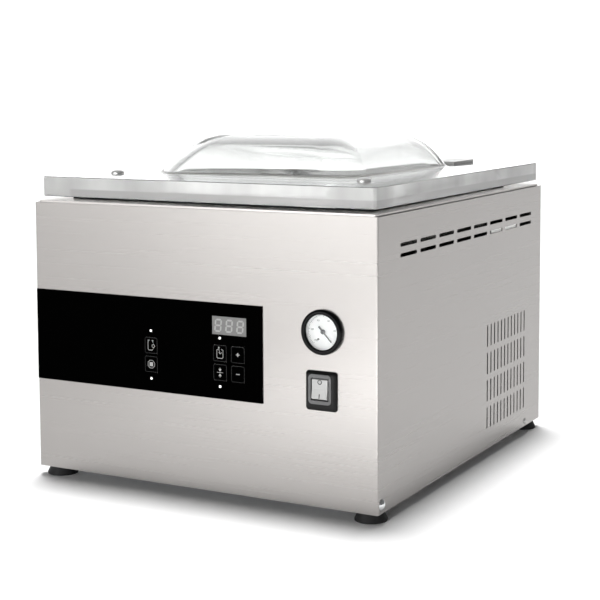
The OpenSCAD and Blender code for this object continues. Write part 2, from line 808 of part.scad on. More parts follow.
// Upright oil mist filter just inside the grille, on a clip that stands on the tray
module exhaust_filter() {
  color(white_plastic)
  translate([filter_x, behind_front(filter_y), 0]) {
    translate([0, 0, filter_z0]) cylinder(r = filter_r, h = filter_z1 - filter_z0);
    translate([0, 0, filter_z1 - 1]) cylinder(r = 10, h = 9);
    for (z = [filter_z0 + 8, filter_z1 - 12]) translate([0, 0, z]) cylinder(r = filter_r + 1.5, h = 4);
    translate([0, 0, tray_z + tray_t]) cylinder(r = 15, h = filter_z0 - tray_z - tray_t + 1);
  }
}

valve_x0 = -110;
valve_l = 84;
valve_y = 392;
valve_z = 130;

module valve_block() {
  depth = 30;
  height = 36;
  color(aluminium)
  difference() {
    union() {
      translate([valve_x0, behind_front(valve_y), valve_z]) cube([valve_l, depth, height]);
      translate([valve_x0 + 6, behind_front(valve_y + depth - 1), valve_z + 6])
        cube([valve_l - 12, body_d - sheet - valve_y - depth + 1, 8]);
      rod_x(valve_x0 + valve_l - 1, behind_front(valve_y + 15), valve_z + 18, 7, 12);
      translate([valve_x0 + 20, behind_front(valve_y + 15), valve_z + height - 1]) cylinder(r = 7, h = 12);
    }
    rod_x(valve_x0 + 6, behind_front(valve_y + 15), valve_z + 18, 4.5, valve_l + cut);
  }
}

module solenoid_coils() {
  color([0.12, 0.12, 0.13])
  for (i = [0 : 2])
    translate([valve_x0 + 16 + i * 26, behind_front(valve_y + 15), valve_z]) {
      translate([-10.5, -12, -34]) cube([21, 24, 30]);
      translate([0, 0, -4]) cylinder(r = 6, h = 4);
      translate([0, 0, -39]) cylinder(r = 5, h = 5);
    }
}

// Hoses: chamber to valve block, valve block to pump, pump to filter, valves to lift cylinders, gauge line
module vacuum_hoses() {
  back = behind_front(chamber_mid + chamber_l / 2 + tub_t);
  fitting_z = floor_z - tub_t - 4;
  color([0.16, 0.16, 0.17]) {
    hose([[0, back, port_z], [0, back + 26, port_z], [-40, back + 27, port_z - 10],
          [valve_x0 + 20, behind_front(valve_y + 15), port_z - 40],
          [valve_x0 + 20, behind_front(valve_y + 15), valve_z + 47]], 8.5);
    hose([[valve_x0 + valve_l + 11, behind_front(valve_y + 15), valve_z + 18],
          [valve_x0 + valve_l + 35, behind_front(valve_y + 15), valve_z + 18],
          [20, behind_front(360), 168], [48, behind_front(200), 178],
          [pump_x - 25, behind_front(pump_front + 40), 178],
          [pump_x - 25, behind_front(pump_front + 40), 163]], 8.5);
    hose([[pump_x + 25, behind_front(pump_front + 100), 159],
          [pump_x + 25, behind_front(pump_front + 100), 172], [filter_x - 20, behind_front(300), 174],
          [filter_x, behind_front(filter_y), 170], [filter_x, behind_front(filter_y), filter_z1 + 8]], 6);
    hose([[cylinder_x, behind_front(bar_y), fitting_z], [cylinder_x, behind_front(bar_y), 172],
          [0, behind_front(90), 168], [-cylinder_x, behind_front(bar_y), 172],
          [-cylinder_x, behind_front(bar_y), fitting_z]], 3);
    hose([[0, behind_front(86), 172], [0, behind_front(100), 160], [-140, behind_front(140), 160],
          [-150, behind_front(380), 120], [valve_x0 - 24, behind_front(valve_y + 15), valve_z + 10],
          [valve_x0, behind_front(valve_y + 15), valve_z + 10]], 3);
    hose([[gauge_x, behind_front(41), gauge_z], [gauge_x, behind_front(58), gauge_z],
          [gauge_x - 20, behind_front(70), 160], [20, behind_front(110), 176], [-20, behind_front(250), 180],
          [valve_x0 + valve_l - 20, behind_front(valve_y - 6), valve_z + 26],
          [valve_x0 + valve_l - 20, behind_front(valve_y), valve_z + 26]], 2.5);
  }
}

module seal_transformer() {
  core_x = -112;
  core_y = 290;
  core_w = 84;
  core_h = 70;
  core_l = 36;
  coil_w = 56;
  base = tray_z + tray_t;
  color([0.30, 0.30, 0.32]) {
    translate([core_x - core_w / 2, behind_front(core_y - core_l / 2), base + 3]) cube([core_w, core_l, core_h]);
    translate([core_x - coil_w / 2, behind_front(core_y - core_l / 2 - 14), base + 14])
      cube([coil_w, core_l + 28, core_h - 22]);
    translate([core_x - core_w / 2 - 8, behind_front(core_y - core_l / 2), base]) cube([core_w + 16, core_l, 3]);
    for (x = [core_x - 18, core_x + 18])
      translate([x, behind_front(core_y), base + core_h + 2]) cylinder(r = 4, h = 10);
  }
}

// ---- Chamber fittings ----

module suction_strainer() {
  strainer_r = 16;
  wall_y = behind_front(chamber_mid + chamber_l / 2);
  color(steel)
  difference() {
    union() {
      rod_y(0, wall_y - 5, port_z, strainer_r, 5);
      rod_y(0, wall_y - 1, port_z, 9 - gap, tub_t + 1);
    }
    rod_y(0, wall_y - 3.5, port_z, strainer_r - 3, 2.5);
    rod_y(0, wall_y - 4, port_z, 6, cut);
    for (ring = [0 : 2], i = [0 : max(0, ring * 6 - 1)])
      rod_y(ring * 5 * cos(i * 60 / max(1, ring)), wall_y - cut, port_z + ring * 5 * sin(i * 60 / max(1, ring)),
            1.5, cut);
  }
}

bar_z = floor_z + 39;
bar_h = 24.5;
bar_w = 24;
bar_half = 150;
band_t = 0.5;
tape_t = 0.4;
rod_r = 6;

module lift_cylinders() {
  height = bar_z - 6 - floor_z;
  color(aluminium)
  for (side = [-1, 1])
    translate([side * cylinder_x, behind_front(bar_y), floor_z])
    difference() {
      union() {
        cylinder(r = 12, h = height);
        cylinder(r = 17, h = 4);
        translate([0, 0, -tub_t - 4]) cylinder(r = 4 - gap, h = tub_t + 5);
      }
      translate([0, 0, 4]) cylinder(r = rod_r + running, h = height);
      translate([0, 0, -cut]) cylinder(r = 2, h = 2 * cut);
    }
}

module lift_rods() {
  color([0.75, 0.76, 0.78])
  for (side = [-1, 1])
    translate([side * cylinder_x, behind_front(bar_y), floor_z + 7]) cylinder(r = rod_r, h = bar_z - floor_z - 7);
}

module seal_bar() {
  color(aluminium)
  difference() {
    translate([-bar_half, behind_front(bar_y - bar_w / 2), bar_z]) cube([2 * bar_half, bar_w, bar_h]);
    // Hand grooves along both sides of the extrusion
    for (side = [-1, 1])
      translate([-bar_half - 1, behind_front(bar_y + side * bar_w / 2) - 2, bar_z + 9])
        cube([2 * bar_half + 2, 4, 7]);
  }
}

module heating_band() {
  band_w = 8;
  color([0.55, 0.50, 0.45])
  translate([-bar_half + 3, behind_front(bar_y - band_w / 2), bar_z + bar_h])
    cube([2 * bar_half - 6, band_w, band_t]);
}

module release_tape() {
  color([0.72, 0.62, 0.45])
  translate([-bar_half + 1, behind_front(bar_y - bar_w / 2 + 1), bar_z + bar_h + band_t])
    cube([2 * bar_half - 2, bar_w - 2, tape_t]);
}

module bar_end_caps() {
  cap_t = 4;
  color(black)
  for (side = [-1, 1])
    translate([side * (bar_half + cap_t / 2), behind_front(bar_y), bar_z + bar_h / 2]) {
      cube([cap_t, bar_w + 1, bar_h - 1], center = true);
      translate([side * cap_t / 2, 0, 3]) rotate([0, 90, 0]) cylinder(r = 3, h = 1.6, center = true);
    }
}

// Two loose plastic plates that take up the chamber's depth under small bags
module filler_plates() {
  plate_w = chamber_w - 16;
  plate_l = 250;
  plate_t = 12;
  plate_mid = 228;
  color(white_plastic)
  for (i = [0 : 1])
    translate([0, behind_front(plate_mid), floor_z + i * (plate_t + 0.4) + 0.2])
    difference() {
      round_plate(plate_w, plate_l, plate_t, 14);
      for (side = [-1, 1])
        translate([side * (plate_w / 2 - 28), 0, -1]) linear_extrude(plate_t + 2) rotate(90) obround(60, 22);
    }
}

// ---- Lid ----

lid_front = 6.5;
lid_mid = lid_front + lid_l / 2;
dome_mid = 225.6;
dome_half_w = 123;
dome_half_l = 133.5;
dome_corner = 36;
dome_top_corner = 18;
dome_slope = 58;
dome_foot_r = 5;
dome_shoulder_r = 59;
dome_crown = 3.4;
corner_steps = 7;
arc_steps = 7;

// Side of the dome as [inset from its foot, height]: a hollow foot, a slope and a round shoulder
function dome_profile(height) = let (
    foot_in = dome_foot_r * sin(dome_slope),
    foot_up = dome_foot_r * (1 - cos(dome_slope)),
    shoulder_up = dome_shoulder_r * (1 - cos(dome_slope)),
    slope_up = height - dome_crown - foot_up - shoulder_up,
    slope_in = slope_up / tan(dome_slope)
  ) concat(
    [for (i = [0 : 3]) let (a = dome_slope * i / 3)
      [dome_foot_r * sin(a), dome_foot_r * (1 - cos(a))]],
    [for (i = [0 : arc_steps]) let (a = dome_slope * (1 - i / arc_steps))
      [foot_in + slope_in + dome_shoulder_r * (sin(dome_slope) - sin(a)),
       foot_up + slope_up + dome_shoulder_r * (cos(a) - cos(dome_slope))]]
  );

// One level of the dome: a rectangle with round corners, as points going round
function dome_ring(half_w, half_l, r, z) = [
  for (quarter = [0 : 3], i = [0 : corner_steps])
    let (a = quarter * 90 + i * 90 / corner_steps,
         sx = (quarter == 0 || quarter == 3) ? 1 : -1,
         sy = (quarter < 2) ? 1 : -1)
      [sx * (half_w - r) + r * cos(a), sy * (half_l - r) + r * sin(a), z]
];

// Closed solid through the dome's levels, from base_z up, shrunk all round by wall
module dome_solid(base_z, foot_z, height, wall) {
  profile = dome_profile(height);
  run = profile[len(profile) - 1][0];
  rings = concat(
    [dome_ring(dome_half_w - wall, dome_half_l - wall, dome_corner, base_z)],
    [for (p = profile) dome_ring(dome_half_w - wall - p[0], dome_half_l - wall - p[0],
      dome_corner + (dome_top_corner - dome_corner) * p[0] / run, foot_z + p[1])]
  );
  around = 4 * (corner_steps + 1);
  last = len(rings) - 1;
  points = concat([for (ring = rings, p = ring) p], [[0, 0, base_z]], [[0, 0, foot_z + height]]);
  low = len(points) - 2;
  top = len(points) - 1;
  faces = concat(
    [for (j = [0 : last - 1], i = [0 : around - 1]) let (n = (i + 1) % around)
      [j * around + i, (j + 1) * around + i, (j + 1) * around + n, j * around + n]],
    [for (i = [0 : around - 1]) [low, i, (i + 1) % around]],
    [for (i = [0 : around - 1]) [top, last * around + (i + 1) % around, last * around + i]]
  );
  polyhedron(points, faces, convexity = 4);
}

cap_x = 142;
cap_y = 74;
bolt_places = [389, 411];

module lid_panel() {
  corner = 3;
  rim = 2;
  bolt_hole = 3.3;
  color(clear)
  difference() {
    union() {
      translate([0, behind_front(lid_mid), lid_z0]) round_plate(lid_w, lid_l, lid_t, corner);
      translate([0, behind_front(dome_mid), 0]) dome_solid(lid_z1 - rim, lid_z1, dome_h, 0);
    }
    translate([0, behind_front(dome_mid), 0])
      dome_solid(lid_z0 - 1, lid_z0 + rim, lid_t + dome_h - dome_wall - rim, -rim);
    for (side = [-1, 1]) {
      translate([side * cap_x, behind_front(cap_y), lid_z0 - 1]) cylinder(r = m5_hole, h = lid_t + 2);
      for (place = bolt_places)
        translate([side * hinge_x, behind_front(place), lid_z0 - 1]) cylinder(r = bolt_hole, h = lid_t + 2);
    }
  }
}

bar_gap = 0.6;
silicone_z = bar_z + bar_h + band_t + tape_t + bar_lift + bar_gap;

module counter_bar() {
  holder_w = 20;
  holder_z = silicone_z + 6;
  color(aluminium)
  difference() {
    translate([-bar_half - 2, behind_front(bar_y - holder_w / 2), silicone_z + 3])
      cube([2 * bar_half + 4, holder_w, lid_z0 - silicone_z - 3]);
    translate([-bar_half - 3, behind_front(bar_y - 7), silicone_z]) cube([2 * bar_half + 6, 14, 6]);
    for (side = [-1, 1])
      translate([side * cap_x, behind_front(cap_y), holder_z]) cylinder(r = 2.5, h = lid_z0 - holder_z + 1);
  }
}

module silicone_strip() {
  color([0.75, 0.30, 0.18])
  translate([-bar_half + 1, behind_front(bar_y - 7), silicone_z]) cube([2 * bar_half - 2, 14, 6]);
}

// Button heads on the lid whose screws hold the counter bar
module lid_caps() {
  color([0.75, 0.76, 0.77])
  for (side = [-1, 1])
    translate([side * cap_x, behind_front(cap_y), lid_z1]) button_screw(7, 4, 2.4, lid_t + 3);
}

// ---- Hinges ----

hinge_y = body_d + 12;
hinge_z = lid_z0 - 3;
plate_front = 363;
plate_rear = 422;
leaf_front = 379;
plate_half = 15;
leaf_t = 3;
pin_r = 3;
knuckle_r = 5.5;
ear_gap = 17;
ear_t = 3;
knuckle_end = -2;

module hinge_plates() {
  plate_t = 3.2;
  color([0.45, 0.45, 0.46])
  for (side = [-1, 1])
    difference() {
      translate([side * hinge_x, behind_front((plate_front + plate_rear) / 2), lid_z1])
        round_plate(2 * plate_half, plate_rear - plate_front, plate_t, 2);
      for (place = bolt_places)
        translate([side * hinge_x, behind_front(place), lid_z1]) {
          translate([0, 0, -1]) cylinder(r = 3.3, h = cut);
          translate([0, 0, plate_t - 3]) cylinder(r1 = 3, r2 = 6.1, h = 3.1);
        }
    }
}

module hinge_leaves() {
  color([0.55, 0.55, 0.56])
  for (side = [-1, 1])
    translate([side * hinge_x, 0, 0])
    difference() {
      union() {
        translate([-plate_half, behind_front(leaf_front), hinge_z])
          cube([2 * plate_half, hinge_y - 9 - leaf_front, leaf_t]);
        translate([-plate_half, behind_front(hinge_y - 10), hinge_z])
          cube([plate_half + knuckle_end, 10, leaf_t]);
        rod_x(-ear_gap + gap, behind_front(hinge_y), hinge_z, knuckle_r, ear_gap - gap + knuckle_end);
      }
      rod_x(-ear_gap - 1, behind_front(hinge_y), hinge_z, pin_r + running, 2 * ear_gap);
      for (place = bolt_places)
        translate([0, behind_front(place), hinge_z - 1]) cylinder(r = 3, h = cut);
    }
}

module hinge_bolts() {
  plate_top = lid_z1 + 3.2;
  color(zinc)
  for (side = [-1, 1], place = bolt_places)
    translate([side * hinge_x, behind_front(place), 0]) {
      translate([0, 0, hinge_z + 0.4]) cylinder(r = 2.9, h = plate_top - 3 - hinge_z);
      translate([0, 0, plate_top - 3]) cylinder(r1 = 2.9, r2 = 5.8, h = 2.9);
    }
}

module hinge_brackets() {
  back_z0 = 236;
  back_z1 = 275;
  color(zinc)
  for (side = [-1, 1])
    translate([side * hinge_x, 0, 0])
    difference() {
      union() {
        translate([-ear_gap - ear_t, behind_front(body_d), back_z0])
          cube([2 * (ear_gap + ear_t), bracket_t, back_z1 - back_z0]);
        for (x0 = [-ear_gap - ear_t, ear_gap])
          facing_side(x0, ear_t) {
            translate([behind_front(hinge_y), hinge_z]) circle(7);
            polygon([[behind_front(body_d + 1), back_z0 + 12], [behind_front(body_d + 1), back_z1],
                     [behind_front(hinge_y - 6), hinge_z + 3.6], [behind_front(hinge_y + 6.6), hinge_z - 2.3]]);
          }
      }
      rod_x(-ear_gap - ear_t - 1, behind_front(hinge_y), hinge_z, pin_r + running, 2 * (ear_gap + ear_t + 1));
      for (dx = [-bracket_dx, bracket_dx], z = bracket_rows)
        rod_y(dx, behind_front(body_d - 1), z, m4_hole, cut);
    }
}

module hinge_pins() {
  color([0.75, 0.76, 0.77])
  for (side = [-1, 1])
    translate([side * hinge_x, 0, 0]) {
      rod_x(-ear_gap - ear_t - 1.5, behind_front(hinge_y), hinge_z, pin_r, 2 * (ear_gap + ear_t) + 3);
      for (x0 = [-ear_gap - ear_t - 2.5, ear_gap + ear_t + 0.5])
        rod_x(x0, behind_front(hinge_y), hinge_z, pin_r + 1.5, 2);
    }
}

// Torsion springs on the pins: close-wound coils, with a leg that bears on the bracket's plate
module lid_springs() {
  wire_r = 1;
  coil_r = pin_r + running + 0.35 + wire_r;
  turns = 8;
  turn_pitch = 2.1;
  first = knuckle_end + gap + 1.1 * wire_r;
  leg_l = 23;
  leg_lean = 6;
  color([0.5, 0.5, 0.52])
  for (side = [-1, 1])
    translate([side * hinge_x, behind_front(hinge_y), hinge_z]) {
      rotate([0, 90, 0]) rotate_extrude()
        for (i = [0 : turns - 1]) translate([coil_r, first + i * turn_pitch]) circle(1.1 * wire_r, $fn = 24);
      translate([first + (turns - 1) * turn_pitch, -coil_r, 0]) rotate([180 - leg_lean, 0, 0])
        cylinder(r = wire_r, h = leg_l, $fn = 24);
    }
}

casing();
base_tray();
rear_panel();
top_deck();
chamber_tub();
chamber_gasket();
support_brackets();
rubber_feet();
foot_screws();
casing_screws();
rear_screws();
control_overlay();
display_module();
display_window();
indicator_lamps();
control_board();
gauge_case();
gauge_bezel();
gauge_dial();
gauge_glass();
gauge_needle();
switch_bezel();
switch_frame();
switch_rocker();
key_start();
key_stop();
key_vacuum();
key_seal();
key_plus();
key_minus();
power_inlet();
pump_body();
pump_motor();
motor_cowl();
pump_shaft();
motor_fan();
pump_dampers();
exhaust_filter();
valve_block();
solenoid_coils();
vacuum_hoses();
seal_transformer();
suction_strainer();
lift_cylinders();
lift_rods();
seal_bar();
heating_band();
release_tape();
bar_end_caps();
filler_plates();
lid_panel();
counter_bar();
silicone_strip();
lid_caps();
hinge_plates();
hinge_leaves();
hinge_bolts();
hinge_brackets();
hinge_pins();
lid_springs();
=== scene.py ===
import math

import bmesh
import bpy
from mathutils import Matrix, Vector


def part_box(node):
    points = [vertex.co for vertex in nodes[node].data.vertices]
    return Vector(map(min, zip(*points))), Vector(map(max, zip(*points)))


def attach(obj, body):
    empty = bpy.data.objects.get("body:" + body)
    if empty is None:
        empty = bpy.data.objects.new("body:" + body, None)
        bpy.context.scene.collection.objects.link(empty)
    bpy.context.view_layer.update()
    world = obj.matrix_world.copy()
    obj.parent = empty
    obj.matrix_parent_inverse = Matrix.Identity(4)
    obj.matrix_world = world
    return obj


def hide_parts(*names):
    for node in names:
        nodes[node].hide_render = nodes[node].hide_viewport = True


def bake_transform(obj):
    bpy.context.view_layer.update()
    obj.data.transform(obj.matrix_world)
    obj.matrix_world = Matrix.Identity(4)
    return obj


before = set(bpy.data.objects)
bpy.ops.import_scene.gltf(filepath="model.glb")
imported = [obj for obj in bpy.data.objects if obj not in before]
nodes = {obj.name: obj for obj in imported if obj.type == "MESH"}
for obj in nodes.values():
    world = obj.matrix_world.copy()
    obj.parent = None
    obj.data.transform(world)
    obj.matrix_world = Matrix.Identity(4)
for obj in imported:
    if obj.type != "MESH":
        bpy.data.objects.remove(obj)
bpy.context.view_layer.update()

scene = bpy.context.scene
MM = 0.001

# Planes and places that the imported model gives
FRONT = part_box("casing")[0].y
LID_LOW, LID_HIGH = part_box("lid_panel")


def at(x, behind, z):
    """A point from millimetres: x, the distance behind the casing's front face, and the height."""
    return Vector((x * MM, FRONT + behind * MM, z * MM))


def middle(low, high):
    """The centre of a box as seen from the front: x and height in millimetres."""
    return (low.x + high.x) / 2 / MM, (low.z + high.z) / 2 / MM


def around(count):
    """(cosine, sine) at even steps round a circle."""
    return [(math.cos(2 * math.pi * k / count), math.sin(2 * math.pi * k / count)) for k in range(count)]


def quarter(steps):
    """(cosine, sine) at even steps through a right angle, without its start."""
    turns = [math.radians(90 * i / steps) for i in range(1, steps + 1)]
    return [(math.cos(a), math.sin(a)) for a in turns]


# ---------------------------------------------------------------- materials

COLOUR_A, COLOUR_B, COLOUR_OUT = 6, 7, 2    # a Mix node's sockets when it mixes colours


def new_material(name, settings):
    """A material with one Principled shader, and that shader's constants."""
    material = bpy.data.materials.new(name)
    material.use_nodes = True
    tree = material.node_tree
    tree.nodes.clear()
    out = tree.nodes.new("ShaderNodeOutputMaterial")
    shader = tree.nodes.new("ShaderNodeBsdfPrincipled")
    for label, value in settings.items():
        shader.inputs[label].default_value = value
    tree.links.new(shader.outputs[0], out.inputs[0])
    return material, tree, shader


def feed(tree, socket, value):
    """Links a node's output into a socket, or sets the socket to a constant."""
    if isinstance(value, bpy.types.NodeSocket):
        tree.links.new(value, socket)
    else:
        socket.default_value = value


def maths(tree, operation, *values):
    node = tree.nodes.new("ShaderNodeMath")
    node.operation = operation
    for socket, value in zip(node.inputs, values):
        feed(tree, socket, value)
    return node.outputs[0]


def noise(tree, stretch, detail=3.0, rough=0.55):
    """Noise in the object's own coordinates, with a number of cells per metre along each axis."""
    place = tree.nodes.new("ShaderNodeTexCoord")
    mapping = tree.nodes.new("ShaderNodeMapping")
    mapping.inputs["Scale"].default_value = stretch
    texture = tree.nodes.new("ShaderNodeTexNoise")
    texture.inputs["Scale"].default_value = 1.0
    texture.inputs["Detail"].default_value = detail
    texture.inputs["Roughness"].default_value = rough
    tree.links.new(place.outputs["Object"], mapping.inputs["Vector"])
    tree.links.new(mapping.outputs[0], texture.inputs["Vector"])
    return texture.outputs["Fac"]


def ranged(tree, value, low, high, from_low=0.3, from_high=0.7):
    """Maps a value from one range, by default the middle of a noise, to low and high."""
    node = tree.nodes.new("ShaderNodeMapRange")
    node.inputs["From Min"].default_value = from_low
    node.inputs["From Max"].default_value = from_high
    node.inputs["To Min"].default_value = low
    node.inputs["To Max"].default_value = high
    tree.links.new(value, node.inputs["Value"])
    return node.outputs[0]


def tinted(tree, factor, low, high):
    """A colour between low, which may be a node's output, and high."""
    node = tree.nodes.new("ShaderNodeMix")
    node.data_type = "RGBA"
    tree.links.new(factor, node.inputs["Factor"])
    feed(tree, node.inputs[COLOUR_A], low if isinstance(low, bpy.types.NodeSocket) else (*low, 1))
    node.inputs[COLOUR_B].default_value = (*high, 1)
    return node.outputs[COLOUR_OUT]


def scaled(colour, k):
    return tuple(min(1.0, c * k) for c in colour)


def mottled(tree, shader, clouds, colour, spread):
    """Colours a shader a little darker and lighter with slow clouds."""
    cloudy = tinted(tree, ranged(tree, clouds, 0, 1), scaled(colour, 1 - spread), scaled(colour, 1 + spread))
    tree.links.new(cloudy, shader.inputs["Base Color"])


def bumped(tree, shader, height, strength, distance):
    """Raises a shader's surface by a height; distance is the most, in metres."""
    bump = tree.nodes.new("ShaderNodeBump")
    bump.inputs["Strength"].default_value = strength
    bump.inputs["Distance"].default_value = distance
    tree.links.new(height, bump.inputs["Height"])
    tree.links.new(bump.outputs[0], shader.inputs["Normal"])


def brushed_metal(name, colour, rough, stretch, contrast=0.05, bump=0.06, uneven=0.03):
    """Sheet metal with a grain: fine streaks in colour, roughness and height, and slow cloudy patches."""
    material, tree, shader = new_material(name, {"Metallic": 1.0, "Anisotropic": 0.35})
    streaks = noise(tree, stretch, 4.0, 0.65)
    clouds = noise(tree, (9.0,) * 3, 2.0)
    both = maths(tree, "MULTIPLY_ADD", streaks, 0.5, maths(tree, "MULTIPLY", clouds, 0.5))
    tone = ranged(tree, both, 0.0, 1.0, 0.36, 0.64)
    tree.links.new(tinted(tree, tone, scaled(colour, 1 - contrast), scaled(colour, 1 + contrast)),
                   shader.inputs["Base Color"])
    tree.links.new(ranged(tree, streaks, rough - uneven, rough + uneven), shader.inputs["Roughness"])
    bumped(tree, shader, streaks, bump, 0.0002)
    return material


def plain_metal(name, colour, rough, grain=500.0, spread=0.05, bump=0.05, metallic=1.0):
    """Metal without a direction: a fine even grain with slow clouds of colour."""
    material, tree, shader = new_material(name, {"Metallic": metallic})
    fine = noise(tree, (grain,) * 3, 3.0)
    mottled(tree, shader, noise(tree, (grain / 14,) * 3, 2.0), colour, spread)
    tree.links.new(ranged(tree, fine, rough * 0.85, rough * 1.15), shader.inputs["Roughness"])
    bumped(tree, shader, fine, bump, 0.0002)
    return material


def moulded(name, colour, rough, specular=0.5, grain=1800.0, bump=0.12, spread=0.08):
    """Plastic, rubber or paint: a fine skin texture with a little colour variation."""
    material, tree, shader = new_material(name, {"Specular IOR Level": specular})
    fine = noise(tree, (grain,) * 3, 3.0)
    mottled(tree, shader, noise(tree, (grain / 60,) * 3, 2.0), colour, spread)
    tree.links.new(ranged(tree, fine, rough * 0.9, min(1.0, rough * 1.1)), shader.inputs["Roughness"])
    bumped(tree, shader, fine, bump, 0.0001)
    return material


def clear_material(name, colour, ior, rough, clearness=1.0):
    """Clear plastic with a slight haze; clearness below 1 gives it some milkiness."""
    material, tree, shader = new_material(name, {"Transmission Weight": clearness, "IOR": ior})
    haze = noise(tree, (40.0,) * 3, 3.0)
    tree.links.new(ranged(tree, haze, rough, rough + 0.01), shader.inputs["Roughness"])
    tree.links.new(tinted(tree, ranged(tree, haze, 0, 1), scaled(colour, 0.99), colour),
                   shader.inputs["Base Color"])
    return material


ACRYLIC_IOR = 1.491
PAINTED_GASKET_BAND = 8 * MM          # height of the edge's lower band that is painted darker, a painted image of the gasket seen through it
PAINTED_GASKET_BAND_IN = 20 * MM      # how far inside the gasket's left edge the painted band starts
PAINTED_BAND_BLUR = 0.6 * MM


def cut_edge(name, light, painted_gasket_colour):
    """The plate's sawn edge: cloudy upright blocks, and a darker band painted in its lower part, a painted
    image of the gasket seen through the clear edge.
    """
    material, tree, shader = new_material(name, {"IOR": ACRYLIC_IOR, "Transmission Weight": 0.45})
    blocks = noise(tree, (26.0, 26.0, 9.0), 2.0)
    saw = noise(tree, (900.0, 900.0, 90.0), 3.0)
    place = tree.nodes.new("ShaderNodeTexCoord")
    split = tree.nodes.new("ShaderNodeSeparateXYZ")
    tree.links.new(place.outputs["Object"], split.inputs[0])
    top = LID_LOW.z + PAINTED_GASKET_BAND
    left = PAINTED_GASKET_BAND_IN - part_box("chamber_gasket")[1].x
    band = ranged(tree, split.outputs["Z"], 1.0, 0.0, top - PAINTED_BAND_BLUR, top + PAINTED_BAND_BLUR)
    start = ranged(tree, split.outputs["X"], 0.0, 1.0, left - 3 * MM, left + MM)
    cloud = tinted(tree, ranged(tree, blocks, 0, 1), scaled(light, 0.82), scaled(light, 1.14))
    # Painted refraction: the low strip, from the gasket's left edge on, takes the gasket's darker grey
    painted_gasket = maths(tree, "MULTIPLY", band, start)
    tree.links.new(tinted(tree, painted_gasket, cloud, painted_gasket_colour), shader.inputs["Base Color"])
    tree.links.new(ranged(tree, saw, 0.16, 0.24), shader.inputs["Roughness"])
    return material


def glowing(material, colour, strength):
    """Adds a glow to a material: the indicator lamps' own light, and painted light on the dial."""
    shader = next(n for n in material.node_tree.nodes if n.type == "BSDF_PRINCIPLED")
    shader.inputs["Emission Color"].default_value = (*colour, 1)
    shader.inputs["Emission Strength"].default_value = strength
    return material


# One stainless steel in three tones: darker on the walls, 1.5 times lighter on the deck and 1.7 times in the
# tub; painted shade on the walls and painted light on the deck and in the tub
STEEL = (0.335, 0.321, 0.311)
steel_wall_painted_shade = brushed_metal("steel_wall_painted_shade", STEEL, 0.27, (3.0, 3.0, 760.0), contrast=0.010, bump=0.003,
                           uneven=0.006)
steel_top_painted_light = brushed_metal("steel_top_painted_light", scaled(STEEL, 1.5), 0.30, (5.0, 620.0, 620.0))
steel_tub_painted_light = brushed_metal("steel_tub_painted_light", scaled(STEEL, 1.7), 0.28, (6.0, 400.0, 400.0), contrast=0.04)
zinc = plain_metal("zinc_plate", (0.62, 0.64, 0.66), 0.36, grain=260.0, spread=0.1)
polished = plain_metal("polished_steel", (0.76, 0.77, 0.78), 0.10, grain=700.0, spread=0.03, bump=0.02)
satin_cap = plain_metal("satin_steel", (0.74, 0.74, 0.73), 0.22, grain=700.0, spread=0.03, metallic=0.55)
aluminium = brushed_metal("aluminium", (0.78, 0.79, 0.80), 0.34, (8.0, 500.0, 500.0))
bright_bracket = plain_metal("galvanised_bright", (0.92, 0.92, 0.90), 0.55, grain=300.0, metallic=0.2)
cast_grey = moulded("pump_paint", (0.32, 0.34, 0.36), 0.45, grain=500.0, bump=0.35)
motor_grey = moulded("motor_paint", (0.10, 0.12, 0.15), 0.42, grain=500.0, bump=0.3)
winding_black = moulded("varnished_windings", (0.025, 0.024, 0.026), 0.35, grain=900.0, bump=0.3)
hinge_grey = plain_metal("hinge_coating", (0.56, 0.555, 0.55), 0.34, grain=600.0, metallic=0.6)
rubber = moulded("black_rubber", (0.018, 0.018, 0.019), 0.62, specular=0.35, grain=1400.0, bump=0.25)
gasket_rubber = moulded("gasket_rubber", (0.012, 0.012, 0.012), 0.70, specular=0.25, grain=1200.0, bump=0.2)
overlay_black = moulded("overlay_film", (0.0005,) * 3, 0.55, specular=0.0, grain=2600.0, bump=0.03)
bezel_black = moulded("gloss_black", (0.002, 0.002, 0.0021), 0.17, specular=0.10, grain=900.0, bump=0.02)
switch_black = moulded("switch_black", (0.008, 0.008, 0.008), 0.36, specular=0.15, grain=2200.0, bump=0.12)
matte_black = moulded("matte_black", (0.014, 0.014, 0.015), 0.55, specular=0.4)
frame_grey = moulded("frame_grey", (0.120, 0.120, 0.122), 0.48, specular=0.3, grain=2200.0)
rocker_grey = moulded("rocker_grey", (0.42, 0.42, 0.415), 0.42, grain=2000.0, spread=0.04)
white_plastic = moulded("white_plastic", (0.83, 0.83, 0.80), 0.46, grain=900.0, spread=0.03)
filter_paper = moulded("filter_paper", (0.80, 0.80, 0.77), 0.75, grain=700.0, bump=0.4)
# The dial's glow is painted light: it brightens a dial that is no lamp
dial_white_painted_glow = glowing(moulded("dial_white_painted_glow", (0.86, 0.86, 0.85), 0.50, grain=1500.0, bump=0.03, spread=0.02),
                     (1, 1, 0.99), 0.22)
lamp_white = glowing(moulded("lamp_white", (0.9, 0.9, 0.9), 0.3, bump=0.02), (1, 1, 1), 0.7)
print_white = moulded("print_white", (0.34, 0.34, 0.34), 0.5, grain=1500.0, bump=0.05, spread=0.04)
print_dim = moulded("print_dim", (0.020, 0.020, 0.021), 0.5, grain=1500.0, bump=0.05, spread=0.1)
print_black = moulded("print_black", (0.03, 0.03, 0.03), 0.5, grain=1500.0, bump=0.05)
needle_grey = moulded("needle_grey", (0.075, 0.075, 0.078), 0.4, grain=1500.0, bump=0.05)
display_grey = moulded("display_lens", (0.150, 0.150, 0.148), 0.30, specular=0.3, grain=500.0, bump=0.02)
segment_grey = moulded("display_segment", (0.30, 0.30, 0.295), 0.35, specular=0.3, grain=900.0, bump=0.02)
